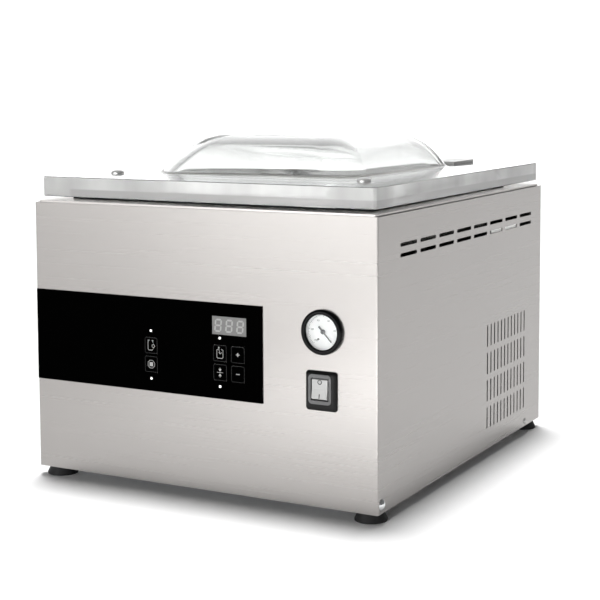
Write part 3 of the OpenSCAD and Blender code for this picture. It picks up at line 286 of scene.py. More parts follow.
board_green = moulded("solder_mask", (0.015, 0.12, 0.045), 0.32, grain=1200.0, bump=0.2)
band_brown = plain_metal("resistance_band", (0.34, 0.30, 0.26), 0.38, grain=900.0)
release_cloth = moulded("release_cloth", (0.34, 0.24, 0.12), 0.6, grain=1300.0, bump=0.6, spread=0.15)
silicone = moulded("red_silicone", (0.33, 0.045, 0.018), 0.55, grain=900.0, bump=0.15)
acrylic = clear_material("clear_acrylic", (0.985, 0.995, 0.990), ACRYLIC_IOR, 0.0, 0.90)
acrylic_flat = clear_material("acrylic_plate", (0.975, 0.985, 0.980), ACRYLIC_IOR, 0.09, 0.84)
# The second colour is painted: the gasket's image seen through the edge's low strip
acrylic_edge = cut_edge("sawn_acrylic_edge", (0.66, 0.66, 0.65), (0.50, 0.495, 0.49))
gauge_clear = clear_material("gauge_window", (0.99, 1.0, 1.0), 1.49, 0.0)


# ---------------------------------------------------------------- CAD nodes that stay

SHARP = 32              # degrees between faces, above which an edge stays sharp


def dress(names, material):
    """Gives CAD nodes a material and smooth shading."""
    for name in names.split():
        for place in nodes[name].material_slots:
            place.material = material
        mesh = nodes[name].data
        mesh.shade_smooth()
        mesh.set_sharp_from_angle(angle=math.radians(SHARP))


def soften(names, width, segments=2):
    """Rounds the sharp edges of CAD nodes a little."""
    for name in names.split():
        bevel = nodes[name].modifiers.new("edges", "BEVEL")
        bevel.width = width * MM
        bevel.segments = segments
        bevel.limit_method = "ANGLE"
        bevel.angle_limit = math.radians(40)
        bevel.harden_normals = True


dress("casing rear_panel", steel_wall_painted_shade)
dress("top_deck suction_strainer", steel_top_painted_light)
dress("base_tray foot_screws hinge_bolts hinge_brackets", zinc)
dress("support_brackets", bright_bracket)
dress("hinge_pins lift_rods pump_shaft", polished)
dress("seal_bar counter_bar lift_cylinders valve_block", aluminium)
dress("pump_body", cast_grey)
dress("pump_motor", motor_grey)
dress("solenoid_coils seal_transformer", winding_black)
dress("hinge_plates hinge_leaves", hinge_grey)
dress("rubber_feet pump_dampers vacuum_hoses", rubber)
dress("chamber_gasket", gasket_rubber)
dress("control_overlay key_start key_stop key_vacuum key_seal key_plus key_minus", overlay_black)
dress("gauge_case power_inlet motor_cowl bar_end_caps", matte_black)
dress("switch_frame", frame_grey)
dress("gauge_needle", needle_grey)
dress("switch_rocker motor_fan display_module", rocker_grey)
dress("gauge_dial", dial_white_painted_glow)
dress("filler_plates", white_plastic)
dress("exhaust_filter", filter_paper)
dress("indicator_lamps", lamp_white)
dress("display_window", display_grey)
dress("gauge_glass", gauge_clear)
dress("control_board", board_green)
dress("heating_band", band_brown)
dress("release_tape", release_cloth)
dress("silicone_strip", silicone)

soften("top_deck", 0.7)
soften("filler_plates", 1.2)
soften("chamber_gasket", 1.4, segments=3)
soften("seal_bar counter_bar", 0.6)
soften("hinge_plates", 0.6)
soften("switch_frame", 0.5, segments=3)
soften("switch_rocker", 0.5, segments=3)
soften("power_inlet rubber_feet", 0.4)


# ---------------------------------------------------------------- mesh helpers

def finish_piece(name, mesh, material, body, replaces=(), smooth_angle=SHARP):
    """Makes a mesh a piece of the object: cleaned, shaded, riding on a body and named."""
    mesh.materials.append(material)
    bm = bmesh.new()
    bm.from_mesh(mesh)
    bmesh.ops.remove_doubles(bm, verts=bm.verts, dist=1e-7)
    bmesh.ops.recalc_face_normals(bm, faces=bm.faces)
    bm.to_mesh(mesh)
    bm.free()
    mesh.shade_smooth()
    mesh.set_sharp_from_angle(angle=math.radians(smooth_angle))
    piece = bpy.data.objects.new(name, mesh)
    scene.collection.objects.link(piece)
    if body:
        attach(piece, body)
    if replaces:
        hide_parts(*replaces)
    return piece


class Build:
    """Collects closed shapes into one mesh."""

    def __init__(self):
        self.verts, self.faces = [], []

    def add(self, verts, faces):
        start = len(self.verts)
        self.verts += [tuple(v) for v in verts]
        self.faces += [tuple(start + i for i in face) for face in faces]

    def loft(self, rings, closed=False):
        """Skin through rings of equal length; the ends are capped unless the rings close on themselves."""
        n, m = len(rings[0]), len(rings)
        verts = [p for ring in rings for p in ring]
        faces = []
        for j in range(m if closed else m - 1):
            k = (j + 1) % m
            faces += [(j * n + i, j * n + (i + 1) % n, k * n + (i + 1) % n, k * n + i) for i in range(n)]
        if not closed:
            faces += [tuple(range(n))[::-1], tuple((m - 1) * n + i for i in range(n))]
        self.add(verts, faces)

    def sweep(self, path, across, depth, up, closed=False, sides=8):
        """A bead along a path: an ellipse with the half-widths across and depth, the second along up."""
        rings = []
        count = len(path)
        for i, p in enumerate(path):
            before = path[i - 1] if i or closed else path[i]
            after = path[(i + 1) % count] if i < count - 1 or closed else path[i]
            a, b = (p - before), (after - p)
            a = a.normalized() if a.length else b.normalized()
            b = b.normalized() if b.length else a
            along = (a + b).normalized()
            side = up.cross(along).normalized()
            stretch = 1 / max(0.5, along.dot(b))
            rings.append([p + side * across * stretch * c + up * depth * s for c, s in around(sides)])
        self.loft(rings, closed)

    def plate(self, outline, low, high):
        """A flat shape: an outline's points moved by the vector low, and by high."""
        self.loft([[p + low for p in outline], [p + high for p in outline]])

    def mesh(self, name):
        mesh = bpy.data.meshes.new(name)
        mesh.from_pydata(self.verts, [], self.faces)
        mesh.update()
        return mesh


def rounded_ring(half_w, half_l, r, corner_steps, side_steps=1):
    """Points round a rectangle with round corners, as (x, y), always the same number of them."""
    r = min(r, half_w, half_l)
    points = []
    corners = [(half_w - r, half_l - r, 0), (-half_w + r, half_l - r, 90),
               (-half_w + r, -half_l + r, 180), (half_w - r, -half_l + r, 270)]
    for index, (cx, cy, start) in enumerate(corners):
        arc = [(cx + r * math.cos(math.radians(start + 90 * i / corner_steps)),
                cy + r * math.sin(math.radians(start + 90 * i / corner_steps)))
               for i in range(corner_steps + 1)]
        points += arc
        nx, ny, nstart = corners[(index + 1) % 4]
        after = (nx + r * math.cos(math.radians(nstart)), ny + r * math.sin(math.radians(nstart)))
        dx, dy = after[0] - arc[-1][0], after[1] - arc[-1][1]
        points += [(arc[-1][0] + dx * i / side_steps, arc[-1][1] + dy * i / side_steps)
                   for i in range(1, side_steps)]
    return points


TINY = 1e-4


def turned_ring(place, radius, height, count):
    """Points round the local Z of a matrix, at a radius and height in millimetres."""
    r = max(radius, TINY) * MM
    return [place @ Vector((r * c, r * s, height * MM)) for c, s in around(count)]


def lathe(build, profile, place, count, closed=False):
    """Turns (radius, height) pairs round the local Z of a matrix; radius 0 closes an end."""
    build.loft([turned_ring(place, r, h, count) for r, h in profile], closed)


def facing(direction, origin):
    """A matrix whose Z points along direction, with its origin at a place."""
    return Matrix.Translation(origin) @ Vector(direction).to_track_quat("Z", "Y").to_matrix().to_4x4()


# ---------------------------------------------------------------- the lid: plate and blown dome

LID_T = 20.0
PLATE_CORNER = 3.0
EDGE = 0.7              # the plate's broken edges
DOME_MID = 225.6        # behind the casing's front
DOME_HALF_W, DOME_HALF_L = 123.0, 133.5
DOME_CORNER = 36.0
DOME_TAPER = 18.0       # how much the corner's radius drops on the way up
DOME_SLOPE = math.radians(58)
FOOT_R, SHOULDER_R, CROWN = 5.0, 59.0, 3.4
INNER_RIM = 2.0         # the round of the opening under the dome
WALL = 9.0              # between the dome's top outside and inside
CROWN_RINGS = 14
CORNER_STEPS, SIDE_STEPS = 10, 6
lid_z0 = LID_LOW.z / MM
lid_z1 = lid_z0 + LID_T
dome_h = LID_HIGH.z / MM - lid_z1


def dome_profile(height):
    """(inset, rise) pairs from the dome's foot to where its top goes level."""
    foot_steps, slope_steps, shoulder_steps = 6, 5, 14
    sine, cosine = math.sin(DOME_SLOPE), math.cos(DOME_SLOPE)
    foot_in, foot_up = FOOT_R * sine, FOOT_R * (1 - cosine)
    slope_up = height - CROWN - foot_up - SHOULDER_R * (1 - cosine)
    slope_in = slope_up / math.tan(DOME_SLOPE)
    pairs = []
    for i in range(foot_steps + 1):
        a = DOME_SLOPE * i / foot_steps
        pairs.append((FOOT_R * math.sin(a), FOOT_R * (1 - math.cos(a))))
    for i in range(1, slope_steps):
        pairs.append((foot_in + slope_in * i / slope_steps, foot_up + slope_up * i / slope_steps))
    for i in range(shoulder_steps + 1):
        a = DOME_SLOPE * (1 - i / shoulder_steps)
        pairs.append((foot_in + slope_in + SHOULDER_R * (sine - math.sin(a)),
                      foot_up + slope_up + SHOULDER_R * (math.cos(a) - cosine)))
    return pairs


def dome_rings(foot_z, height, wider):
    """Rings from the foot of a dome to the middle of its top."""
    pairs = dome_profile(height)
    run = pairs[-1][0]
    rings = []
    for inset, rise in pairs:
        corner = DOME_CORNER - DOME_TAPER * inset / run
        flat = rounded_ring(DOME_HALF_W + wider - inset, DOME_HALF_L + wider - inset, corner, CORNER_STEPS,
                            SIDE_STEPS)
        rings.append([at(x, DOME_MID + y, foot_z + rise) for x, y in flat])
    half_w, half_l = DOME_HALF_W + wider - run, DOME_HALF_L + wider - run

    def crown(x, y):
        """The height over the dome's level top, from none at its rim to CROWN in the middle."""
        return CROWN * ((1 - (x / half_w) ** 2) * (1 - (y / half_l) ** 2)) ** 2

    for i in range(1, CROWN_RINGS + 1):
        t = 1 - i / (CROWN_RINGS + 0.02)    # the last ring is nearly, but not quite, a point
        flat = rounded_ring(half_w * t, half_l * t, (DOME_CORNER - DOME_TAPER) * t, CORNER_STEPS, SIDE_STEPS)
        rings.append([at(x, DOME_MID + y, foot_z + height - CROWN + crown(x, y)) for x, y in flat])
    return rings


def lid_ring(inset, z):
    """Points round the plate, an inset inside its outline."""
    corner = PLATE_CORNER - inset / 2
    half_w = (LID_HIGH.x - LID_LOW.x) / 2 / MM - inset
    half_l = (LID_HIGH.y - LID_LOW.y) / 2 / MM - inset
    mid = ((LID_HIGH.y + LID_LOW.y) / 2 - FRONT) / MM
    return [at(x, mid + y, z) for x, y in rounded_ring(half_w, half_l, corner, CORNER_STEPS, SIDE_STEPS)]


outer = dome_rings(lid_z1, dome_h, 0.0)
inner = dome_rings(lid_z0 + INNER_RIM, LID_T + dome_h - WALL - INNER_RIM, INNER_RIM)
rim = rounded_ring(DOME_HALF_W + INNER_RIM, DOME_HALF_L + INNER_RIM, DOME_CORNER, CORNER_STEPS, SIDE_STEPS)
lid = Build()
lid.loft(outer[::-1] + [lid_ring(EDGE, lid_z1), lid_ring(0, lid_z1 - EDGE), lid_ring(0, lid_z0 + EDGE),
                        lid_ring(EDGE, lid_z0), [at(x, DOME_MID + y, lid_z0) for x, y in rim]] + inner)
clear_lid = finish_piece("clear_lid", lid.mesh("clear_lid"), acrylic, "lid",
                         ["lid_panel"], 28)
clear_lid.data.materials.append(acrylic_flat)
clear_lid.data.materials.append(acrylic_edge)
# The plate's top and its sawn edges have materials of their own
for face in clear_lid.data.polygons:
    outside = max(abs(face.center.x) - LID_HIGH.x, LID_LOW.y - face.center.y, face.center.y - LID_HIGH.y)
    if face.normal.z > 0.99 and face.center.z < (lid_z1 + 0.1) * MM:
        face.material_index = 1
    elif outside > -2 * MM and abs(face.normal.z) < 0.3:
        face.material_index = 2


# ---------------------------------------------------------------- the drawn chamber

def tub():
    """The chamber: a bowl with a level flange round its mouth."""
    low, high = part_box("chamber_tub")
    mid = ((low.y + high.y) / 2 - FRONT) / MM
    flange, wall, fillet, corner, lip, step = 12.0, 1.5, 7.0, 20.0, 1.2, 0.6
    half_w = (high.x - low.x) / 2 / MM - flange
    half_l = (high.y - low.y) / 2 / MM - flange
    top, floor = high.z / MM, low.z / MM + wall

    def ring(grow, z):
        flat = rounded_ring(half_w + grow, half_l + grow, corner + grow, CORNER_STEPS, 4)
        return [at(x, mid + y, z) for x, y in flat]

    def bowl(grow, bottom):
        """Rings down the wall's foot to the floor."""
        r = fillet + grow
        return [ring(grow, bottom + r)] + [ring(grow - r * (1 - c), bottom + r * (1 - s))
                                           for c, s in quarter(8)]

    shell = Build()
    inside = [ring(lip, top), ring(lip * 0.3, top - lip * 0.3), ring(0, top - lip)] + bowl(0, floor)
    outside = [ring(flange, top), ring(flange, top - wall), ring(wall + step, top - wall),
               ring(wall, top - wall - step)] + bowl(wall, floor - wall)
    shell.loft(inside[::-1] + outside)
    finish_piece("drawn_chamber", shell.mesh("drawn_chamber"), steel_tub_painted_light, "machine",
                 ["chamber_tub"], 30)


tub()


# ---------------------------------------------------------------- screws and caps

def hexagon_ring(r, count):
    """count points along a hexagon of corner radius r."""
    corners = [Vector(corner) * r for corner in around(6)]
    points = []
    for k in range(count):
        i, u = divmod(6 * k / count, 1)
        points.append(corners[int(i)].lerp(corners[(int(i) + 1) % 6], u))
    return points


ROUND = 48      # points round a screw's head


def socket_screw(build, place, head_r, head_h, shank_r, shank_l, socket_r):
    """Button head with a hexagon socket, its underside at the local z = 0."""
    def ring(r, h):
        return turned_ring(place, r, h, ROUND)

    def socket(h):
        return [place @ Vector((p.x * MM, p.y * MM, h * MM)) for p in hexagon_ring(socket_r, ROUND)]

    mouth_r, side_h = socket_r * 1.16, head_h * 0.16
    rings = [ring(0.01, head_h * 0.32), socket(head_h * 0.35), socket(head_h * 0.96), ring(mouth_r, head_h)]
    rings += [ring(mouth_r + (head_r - mouth_r) * s, side_h + (head_h - side_h) * c) for c, s in quarter(8)]
    rings += [ring(head_r, 0.0), ring(shank_r, 0.0), ring(shank_r, -shank_l)]
    build.loft(rings)


def dome_screw(build, place, head_r, head_h, shank_r, shank_l):
    """Plain low dome head, its underside at the local z = 0."""
    ball = (head_r ** 2 + head_h ** 2) / (2 * head_h)
    radii = [head_r * i / 10 for i in range(11)]
    profile = [(r, head_h - ball + math.sqrt(ball ** 2 - r ** 2)) for r in radii]
    lathe(build, profile + [(shank_r, 0), (shank_r, -shank_l), (0, -shank_l)], place, ROUND)


# Head radius, head height, shank radius, shank length, and a socket screw's socket radius
SIDE_SCREW = (5.5, 2.8, 2.0, 6.0)
SIDE_PLUG = (3.5, 1.6, 2.0, 6.0)
PANEL_SCREW = (3.2, 1.8, 1.5, 5.0, 1.2)
BRACKET_SCREW = (3.6, 2.0, 2.0, 8.0, 1.3)
CAP_SCREW = (7.0, 3.6, 2.4, LID_T + 3, 2.6)
SIDE_SCREW_BEHIND, SIDE_SCREW_Z = 8.0, 18.4
SIDE_PLUG_FROM_REAR, SIDE_PLUG_Z = 50.0, 15.5
PANEL_SCREW_X, PANEL_SCREW_Z = 184, (45.0, 150.0, 252.0)
BRACKET_DX, BRACKET_T, BRACKET_SCREW_Z = 13.0, 3, (242.0, 253.0)
HINGE_X = 100.0
CAP_EDGE = 7.0      # from a cap's centre to its group's side

casing_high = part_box("casing")[1]
rear = (casing_high.y - FRONT) / MM
side_x = casing_high.x / MM
side_screws, side_plugs, back_screws = Build(), Build(), Build()
for side in (-1, 1):
    outward = (side, 0, 0)
    dome_screw(side_screws, facing(outward, at(side * side_x, SIDE_SCREW_BEHIND, SIDE_SCREW_Z)), *SIDE_SCREW)
    dome_screw(side_plugs, facing(outward, at(side * side_x, rear - SIDE_PLUG_FROM_REAR, SIDE_PLUG_Z)),
               *SIDE_PLUG)
    for z in PANEL_SCREW_Z:
        socket_screw(back_screws, facing((0, 1, 0), at(side * PANEL_SCREW_X, rear, z)), *PANEL_SCREW)
    for dx in (-BRACKET_DX, BRACKET_DX):
        for z in BRACKET_SCREW_Z:
            socket_screw(back_screws, facing((0, 1, 0), at(side * HINGE_X + dx, rear + BRACKET_T, z)),
                         *BRACKET_SCREW)
finish_piece("side_screws", side_screws.mesh("side_screws"), polished, "machine",
             ["casing_screws"])
finish_piece("side_plugs", side_plugs.mesh("side_plugs"), hinge_grey, "machine",
             ["casing_screws"])
finish_piece("back_screws", back_screws.mesh("back_screws"), polished, "machine",
             ["rear_screws"])

caps = Build()
cap_low, cap_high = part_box("lid_caps")
cap_x = cap_high.x / MM - CAP_EDGE
cap_behind = ((cap_low.y + cap_high.y) / 2 - FRONT) / MM
for side in (-1, 1):
    socket_screw(caps, facing((0, 0, 1), at(side * cap_x, cap_behind, lid_z1)), *CAP_SCREW)
finish_piece("lid_screw_caps", caps.mesh("lid_screw_caps"), satin_cap, "lid", ["lid_caps"])


# ---------------------------------------------------------------- torsion springs on the hinge pins

PIN_BEHIND, PIN_Z = 450.0, 284.0


def spring(name, x, replaces):
    """A coil whose far leg bears on the bracket and whose near leg lifts the leaf."""
    turns, pitch, first, coil_r, wire, leg, steps = 8, 2.1, -0.6, 4.4, 0.95, 22.0, 20
    lean = math.radians(6)
    width = (turns - 1) * pitch
    start_x = first + width
    path = []
    for share in (1.0, 0.66, 0.33, 0.08):
        out, down = 0.4 * leg * share * math.sin(lean), leg * share * math.cos(lean)
        path.append(at(x + start_x, PIN_BEHIND - coil_r + out, PIN_Z - down))
    total = int((turns - 0.75) * steps)
    for i in range(total + 1):
        a = 2 * math.pi * i / steps
        path.append(at(x + start_x - width * i / total, PIN_BEHIND - coil_r * math.cos(a),
                       PIN_Z + coil_r * math.sin(a)))
    last = path[-1]
    path += [last + Vector((0, -3, 0.8)) * MM, last + Vector((0, -10.0, 2.6)) * MM]
    rings = []
    side = Vector((1, 0, 0))
    for i, p in enumerate(path):
        along = (path[min(i + 1, len(path) - 1)] - path[max(i - 1, 0)]).normalized()
        side = (side - along * side.dot(along)).normalized()
        up = along.cross(side)
        rings.append([p + (side * c + up * s) * wire * MM for c, s in around(10)])
    coil = Build()
    coil.loft(rings)
    piece = finish_piece(name, coil.mesh(name), polished, None, replaces)
    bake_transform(piece)


spring("spring_left", -HINGE_X, ["lid_springs"])
spring("spring_right", HINGE_X, ["lid_springs"])


# ---------------------------------------------------------------- vacuum gauge

gauge_low, gauge_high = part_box("gauge_bezel")
gauge_x, gauge_z = middle(gauge_low, gauge_high)
gauge_r = (gauge_high.x - gauge_low.x) / 2 / MM
proud = (FRONT - gauge_low.y) / MM
RING_W, RING_ROUND, LIP_ROUND, LIP_T, FOOT_W = 4.7, 2.6, 1.5, 2.4, 1.5
lip_r = gauge_r - RING_W
hollow_r = gauge_r - RING_ROUND
profile = [(gauge_r - FOOT_W, 0.0), (gauge_r, 0.0), (gauge_r, proud - RING_ROUND)]
profile += [(hollow_r + RING_ROUND * c, proud - RING_ROUND * (1 - s)) for c, s in quarter(8)]
profile += [(lip_r + LIP_ROUND, proud)]
profile += [(lip_r + LIP_ROUND * (1 - s), proud - LIP_ROUND * (1 - c)) for c, s in quarter(6)]
profile += [(lip_r, proud - LIP_T), (hollow_r, proud - LIP_T), (hollow_r, FOOT_W), (gauge_r - FOOT_W, FOOT_W)]
bezel = Build()
lathe(bezel, profile, facing((0, -1, 0), at(gauge_x, 0, gauge_z)), 128, closed=True)
finish_piece("gauge_ring", bezel.mesh("gauge_ring"), bezel_black, "machine",
             ["gauge_bezel"], 50)

DIAL_FACE = (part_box("gauge_dial")[0].y - FRONT) / MM
out_front = Vector((0, -1, 0))


def proud_by(thickness):
    """The vector from a face that looks forward to a thickness before it."""
    return out_front * thickness * MM


ink_low, ink_high = proud_by(-0.02), proud_by(0.05)


def on_dial(radius, degrees):
    """A point of the dial's face; degrees run anticlockwise from the right as the user sees it."""
    a = math.radians(degrees)
    return at(gauge_x + radius * math.cos(a), DIAL_FACE, gauge_z + radius * math.sin(a))


def tick(build, a, b, width):
    """A flat bar from a to b on the dial."""
    side = (b - a).cross(out_front).normalized() * width * MM / 2
    build.plate([a - side, b - side, b + side, a + side], ink_low, ink_high)


DIAL_START, DIAL_SWEEP, SCALE_R = -47.5, 275.0, 15.5
TICKS, NUMBERS = 50, 6
marks = Build()
for i in range(TICKS + 1):
    angle = DIAL_START + DIAL_SWEEP * i / TICKS
    major = i % 5 == 0
    inner_r, width = (13.6, 0.30) if major else (14.4, 0.14)
    tick(marks, on_dial(SCALE_R - 0.1, angle), on_dial(inner_r, angle), width)
arc = [on_dial(SCALE_R, DIAL_START + DIAL_SWEEP * i / 60) for i in range(61)]
marks.sweep(arc, 0.09 * MM, 0.04 * MM, out_front, sides=6)


def add_number(build, text, centre, size):
    """Digits from the built-in font, laid on the dial."""
    curve = bpy.data.curves.new("digits", "FONT")
    curve.body = text
    curve.size = size * MM
    curve.align_x, curve.align_y = "CENTER", "CENTER"
    curve.extrude = 0.04 * MM
    holder = bpy.data.objects.new("digits", curve)
    scene.collection.objects.link(holder)
    bpy.context.view_layer.update()
    mesh = holder.evaluated_get(bpy.context.evaluated_depsgraph_get()).to_mesh()
    turn = Matrix.Translation(centre) @ Matrix.Rotation(math.radians(90), 4, "X")
    build.add([turn @ v.co for v in mesh.vertices], [tuple(p.vertices) for p in mesh.polygons])
    holder.to_mesh_clear()
    bpy.data.objects.remove(holder)


for i in range(NUMBERS):
    add_number(marks, str(i * 20), on_dial(11.4, DIAL_START + DIAL_SWEEP * i / (NUMBERS - 1)), 2.8)
finish_piece("dial_marks", marks.mesh("dial_marks"), print_black, "machine")

# The needle's stop, and the cap over its hub
pins = Build()
lathe(pins, [(0, 0), (1.0, 0), (1.0, 0.6), (0.75, 0.85), (0, 0.9)], facing((0, -1, 0), on_dial(8.8, 234)), 24)
hub_front = (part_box("gauge_needle")[0].y - FRONT) / MM
lathe(pins, [(0, 0), (2.2, 0.0), (2.2, 0.3), (1.8, 0.6), (0, 0.7)],
      facing((0, -1, 0), at(gauge_x, hub_front, gauge_z)), 32)
finish_piece("dial_pins", pins.mesh("dial_pins"), needle_grey, "machine")


# ---------------------------------------------------------------- mains switch

switch_x, switch_z = middle(*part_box("switch_bezel"))
SWITCH_W, SWITCH_H, SWITCH_CORNER = 32.0, 37.0, 3.0
CUT_W, CUT_H, BODY_DEPTH = 21.8, 29.8, 24.0
ROCKER_RISE, ROCKER_FLOOR = 2.0, 2.4    # the rocker's opening sits above the middle


def switch_ring(width, height, r, forward, rise=0.0):
    """Points round a rectangle a distance before the casing's front."""
    return [at(switch_x + x, -forward, switch_z + rise + y)
            for x, y in rounded_ring(width / 2, height / 2, r, 8, 3)]


housing = Build()
side_rings = [switch_ring(CUT_W, CUT_H, 0.5, -BODY_DEPTH), switch_ring(CUT_W, CUT_H, 0.5, 0.0),
              switch_ring(SWITCH_W, SWITCH_H, SWITCH_CORNER, 0.0),
              switch_ring(SWITCH_W, SWITCH_H, SWITCH_CORNER, 0.8)]
for k in range(7):
    t = k / 6
    shrink = 0.3 + 4.0 * t ** 1.6
    side_rings.append(switch_ring(SWITCH_W - shrink, SWITCH_H - shrink, SWITCH_CORNER, 1.0 + 2.7 * t ** 0.85))
side_rings.append(switch_ring(SWITCH_W - 5.0, SWITCH_H - 5.0, 3.2, 3.95))
side_rings += [switch_ring(23.4, 27.6, 4.0, forward, ROCKER_RISE) for forward in (4.0, ROCKER_FLOOR)]
side_rings += [switch_ring(18.4, 21.0, 0.6, forward, ROCKER_RISE) for forward in (ROCKER_FLOOR, -11.0)]
housing.loft(side_rings)
finish_piece("switch_housing", housing.mesh("switch_housing"), switch_black, "machine",
             ["switch_bezel"], 38)

PIVOT = at(switch_x, -1.0, switch_z + ROCKER_RISE)
ROCKER_TILT = math.radians(5)
RIDGE = 3.7         # from the pivot to the line where the rocker's two faces meet
MARK_Z, MARK_R = 6.5, 1.9


def on_rocker(x, height):
    """A point on the rocker's tilted faces."""
    local = Vector((x, -RIDGE - abs(height) * math.tan(ROCKER_TILT), height)) * MM
    return PIVOT + Matrix.Rotation(-ROCKER_TILT, 3, "X") @ local


legend = Build()
legend.sweep([on_rocker(MARK_R * c, MARK_Z + MARK_R * s) for c, s in around(28)], 0.42 * MM, 0.09 * MM,
             out_front, closed=True)
legend.sweep([on_rocker(0, 1.4 * k - MARK_Z) for k in (-1.5, -0.5, 0.5, 1.5)], 0.5 * MM, 0.09 * MM, out_front)
finish_piece("rocker_marks", legend.mesh("rocker_marks"), print_black, "rocker")


# ---------------------------------------------------------------- control panel print

PANEL = -1.2        # the overlay's face, before the casing's front
STROKE = 0.5


def panel_point(x, z):
    return at(x, PANEL, z)


def dashes(build, cx, cz, half_w, half_h, r, width, on, off):
    """A dotted outline with round corners."""
    ring = [Vector(point) for point in rounded_ring(half_w, half_h, r, 6)]
    ahead = ring[1:] + ring[:1]
    lengths = [0.0]
    for a, b in zip(ring, ahead):
        lengths.append(lengths[-1] + (b - a).length)

    def along(s):
        """The outline's point at a length from its start."""
        s %= lengths[-1]
        for i, (a, b) in enumerate(zip(ring, ahead)):
            if s <= lengths[i + 1]:
                p = a.lerp(b, (s - lengths[i]) / max(TINY, lengths[i + 1] - lengths[i]))
                return panel_point(cx + p.x, cz + p.y)
        return panel_point(cx + ring[0].x, cz + ring[0].y)

    count = round(lengths[-1] / (on + off))
    step = lengths[-1] / count
    for k in range(count):
        build.sweep([along(k * step), along(k * step + on / 2), along(k * step + on)], width / 2 * MM,
                    0.05 * MM, out_front, sides=6)


def line(name, points, thick=1.0, closed=False):
    """A printed stroke on a key's icon, its width as a share of STROKE."""
    cx, cz = centres[name]
    icons[name].sweep([panel_point(cx + x, cz + z) for x, z in points], STROKE * thick / 2 * MM, 0.07 * MM,
                      out_front, closed)


def circle(name, x, z, r, thick):
    line(name, [(x + r * c, z + r * s) for c, s in around(20)], thick, True)


def patch(name, points):
    """A printed area with straight sides."""
    cx, cz = centres[name]
    icons[name].plate([panel_point(cx + x, cz + z) for x, z in points], ink_low, proud_by(0.07))


icons = {name: Build() for name in ("start", "stop", "vacuum", "seal", "plus", "minus")}
centres = {name: middle(*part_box("key_" + name)) for name in icons}

# A bag with an arrow turning out of it
line("start", [(-1.6, 5.0), (-3.6, 5.0), (-3.2, 4.0), (-3.6, 3.0), (-3.6, -3.4), (-2.6, -4.6), (1.0, -4.6),
               (1.9, -3.8)])
line("start", [(0.9, 5.0), (2.2, 5.0), (1.9, 4.0), (2.2, 3.1)])
circle("start", 2.5, -0.4, 1.5, 0.75)
line("start", [(2.5, 1.9), (4.3, -0.4), (2.5, -2.7)], 0.7)

# A square in an octagon
patch("stop", [(-1.9, -1.9), (1.9, -1.9), (1.9, 1.9), (-1.9, 1.9)])
octagon = [math.radians(22.5 + 45 * k) for k in range(8)]
line("stop", [(4.1 * math.cos(a), 4.1 * math.sin(a)) for a in octagon], 0.85, True)

# A bag whose air is drawn out
line("vacuum", [(-1.4, 4.0), (-3.4, 3.0), (-3.4, -3.8), (-2.4, -4.8), (2.4, -4.8), (3.4, -3.8), (3.4, 3.0),
                (1.6, 4.0)])
line("vacuum", [(-1.2, 1.0), (0.2, -0.6), (2.0, 0.9)], 0.9)
line("vacuum", [(0.2, -0.4), (-1.0, 3.0), (-1.2, 5.6)], 0.9)
patch("vacuum", [(-2.3, 4.9), (-0.1, 4.9), (-1.2, 6.5)])

# Two arrows that press on a seam
line("seal", [(-3.3, 0), (3.3, 0)], 0.9)
for sign in (-1, 1):
    patch("seal", [(0, sign * 0.9), (-1.5, sign * 3.4), (1.5, sign * 3.4)])
    line("seal", [(0, sign * 3.0), (0, sign * 4.6)])

for name in ("plus", "minus"):
    line(name, [(-1.9, 0), (1.9, 0)], 1.5)
line("plus", [(0, -1.9), (0, 1.9)], 1.5)

OUTLINE_IN, OUTLINE_CORNER, OUTLINE_W, DASH, GAP = 0.4, 1.6, 0.34, 0.45, 0.35
for name, build in icons.items():
    finish_piece("icon_" + name, build.mesh("icon_" + name), print_white, name + "_key")
    low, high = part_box("key_" + name)
    outline = Build()
    dashes(outline, *centres[name], (high.x - low.x) / 2 / MM - OUTLINE_IN,
           (high.z - low.z) / 2 / MM - OUTLINE_IN, OUTLINE_CORNER, OUTLINE_W, DASH, GAP)
    finish_piece("outline_" + name, outline.mesh("outline_" + name), print_dim, name + "_key")

# Three seven-segment digits in the display window
window_x, window_z = middle(*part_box("display_window"))
DIGIT_PITCH, DIGIT_W, DIGIT_H, SEGMENT, SLANT = 12.1, 6.2, 11.0, 1.7, 0.10
digits = Build()


def segment(x0, z0, x1, z1, digit_x):
    """A bar with pointed ends, leaning with its digit."""
    a, b = Vector((x0, z0)), Vector((x1, z1))
    along = (b - a).normalized()
    side = Vector((-along.y, along.x)) * SEGMENT / 2
    tip = along * SEGMENT / 2
    a, b = a + along * 0.25, b - along * 0.25
    outline = [a, a + tip - side, b - tip - side, b, b - tip + side, a + tip + side]
    digits.plate([panel_point(window_x + digit_x + p.x + p.y * SLANT, window_z + p.y) for p in outline],
                 ink_low, proud_by(0.06))


for k in (-1, 0, 1):
    cx, w, h = k * DIGIT_PITCH, DIGIT_W / 2, DIGIT_H / 2
    for z in (-h, 0, h):
        segment(-w, z, w, z, cx)
    for x in (-w, w):
        segment(x, -h, x, 0, cx)
        segment(x, 0, x, h, cx)
finish_piece("display_digits", digits.mesh("display_digits"), segment_grey, "machine")


# ---------------------------------------------------------------- floor, light and camera

FLOOR = 14.0
floor_mesh = bpy.data.meshes.new("floor")
floor_mesh.from_pydata([(-FLOOR, -FLOOR, 0), (FLOOR, -FLOOR, 0), (FLOOR, FLOOR, 0), (-FLOOR, FLOOR, 0)], [],
                       [(0, 1, 2, 3)])
floor_mesh.materials.append(moulded("studio_floor", (0.93,) * 3, 0.85, specular=0.1, grain=60.0, bump=0.02,
                                    spread=0.005))
floor = bpy.data.objects.new("floor", floor_mesh)
scene.collection.objects.link(floor)

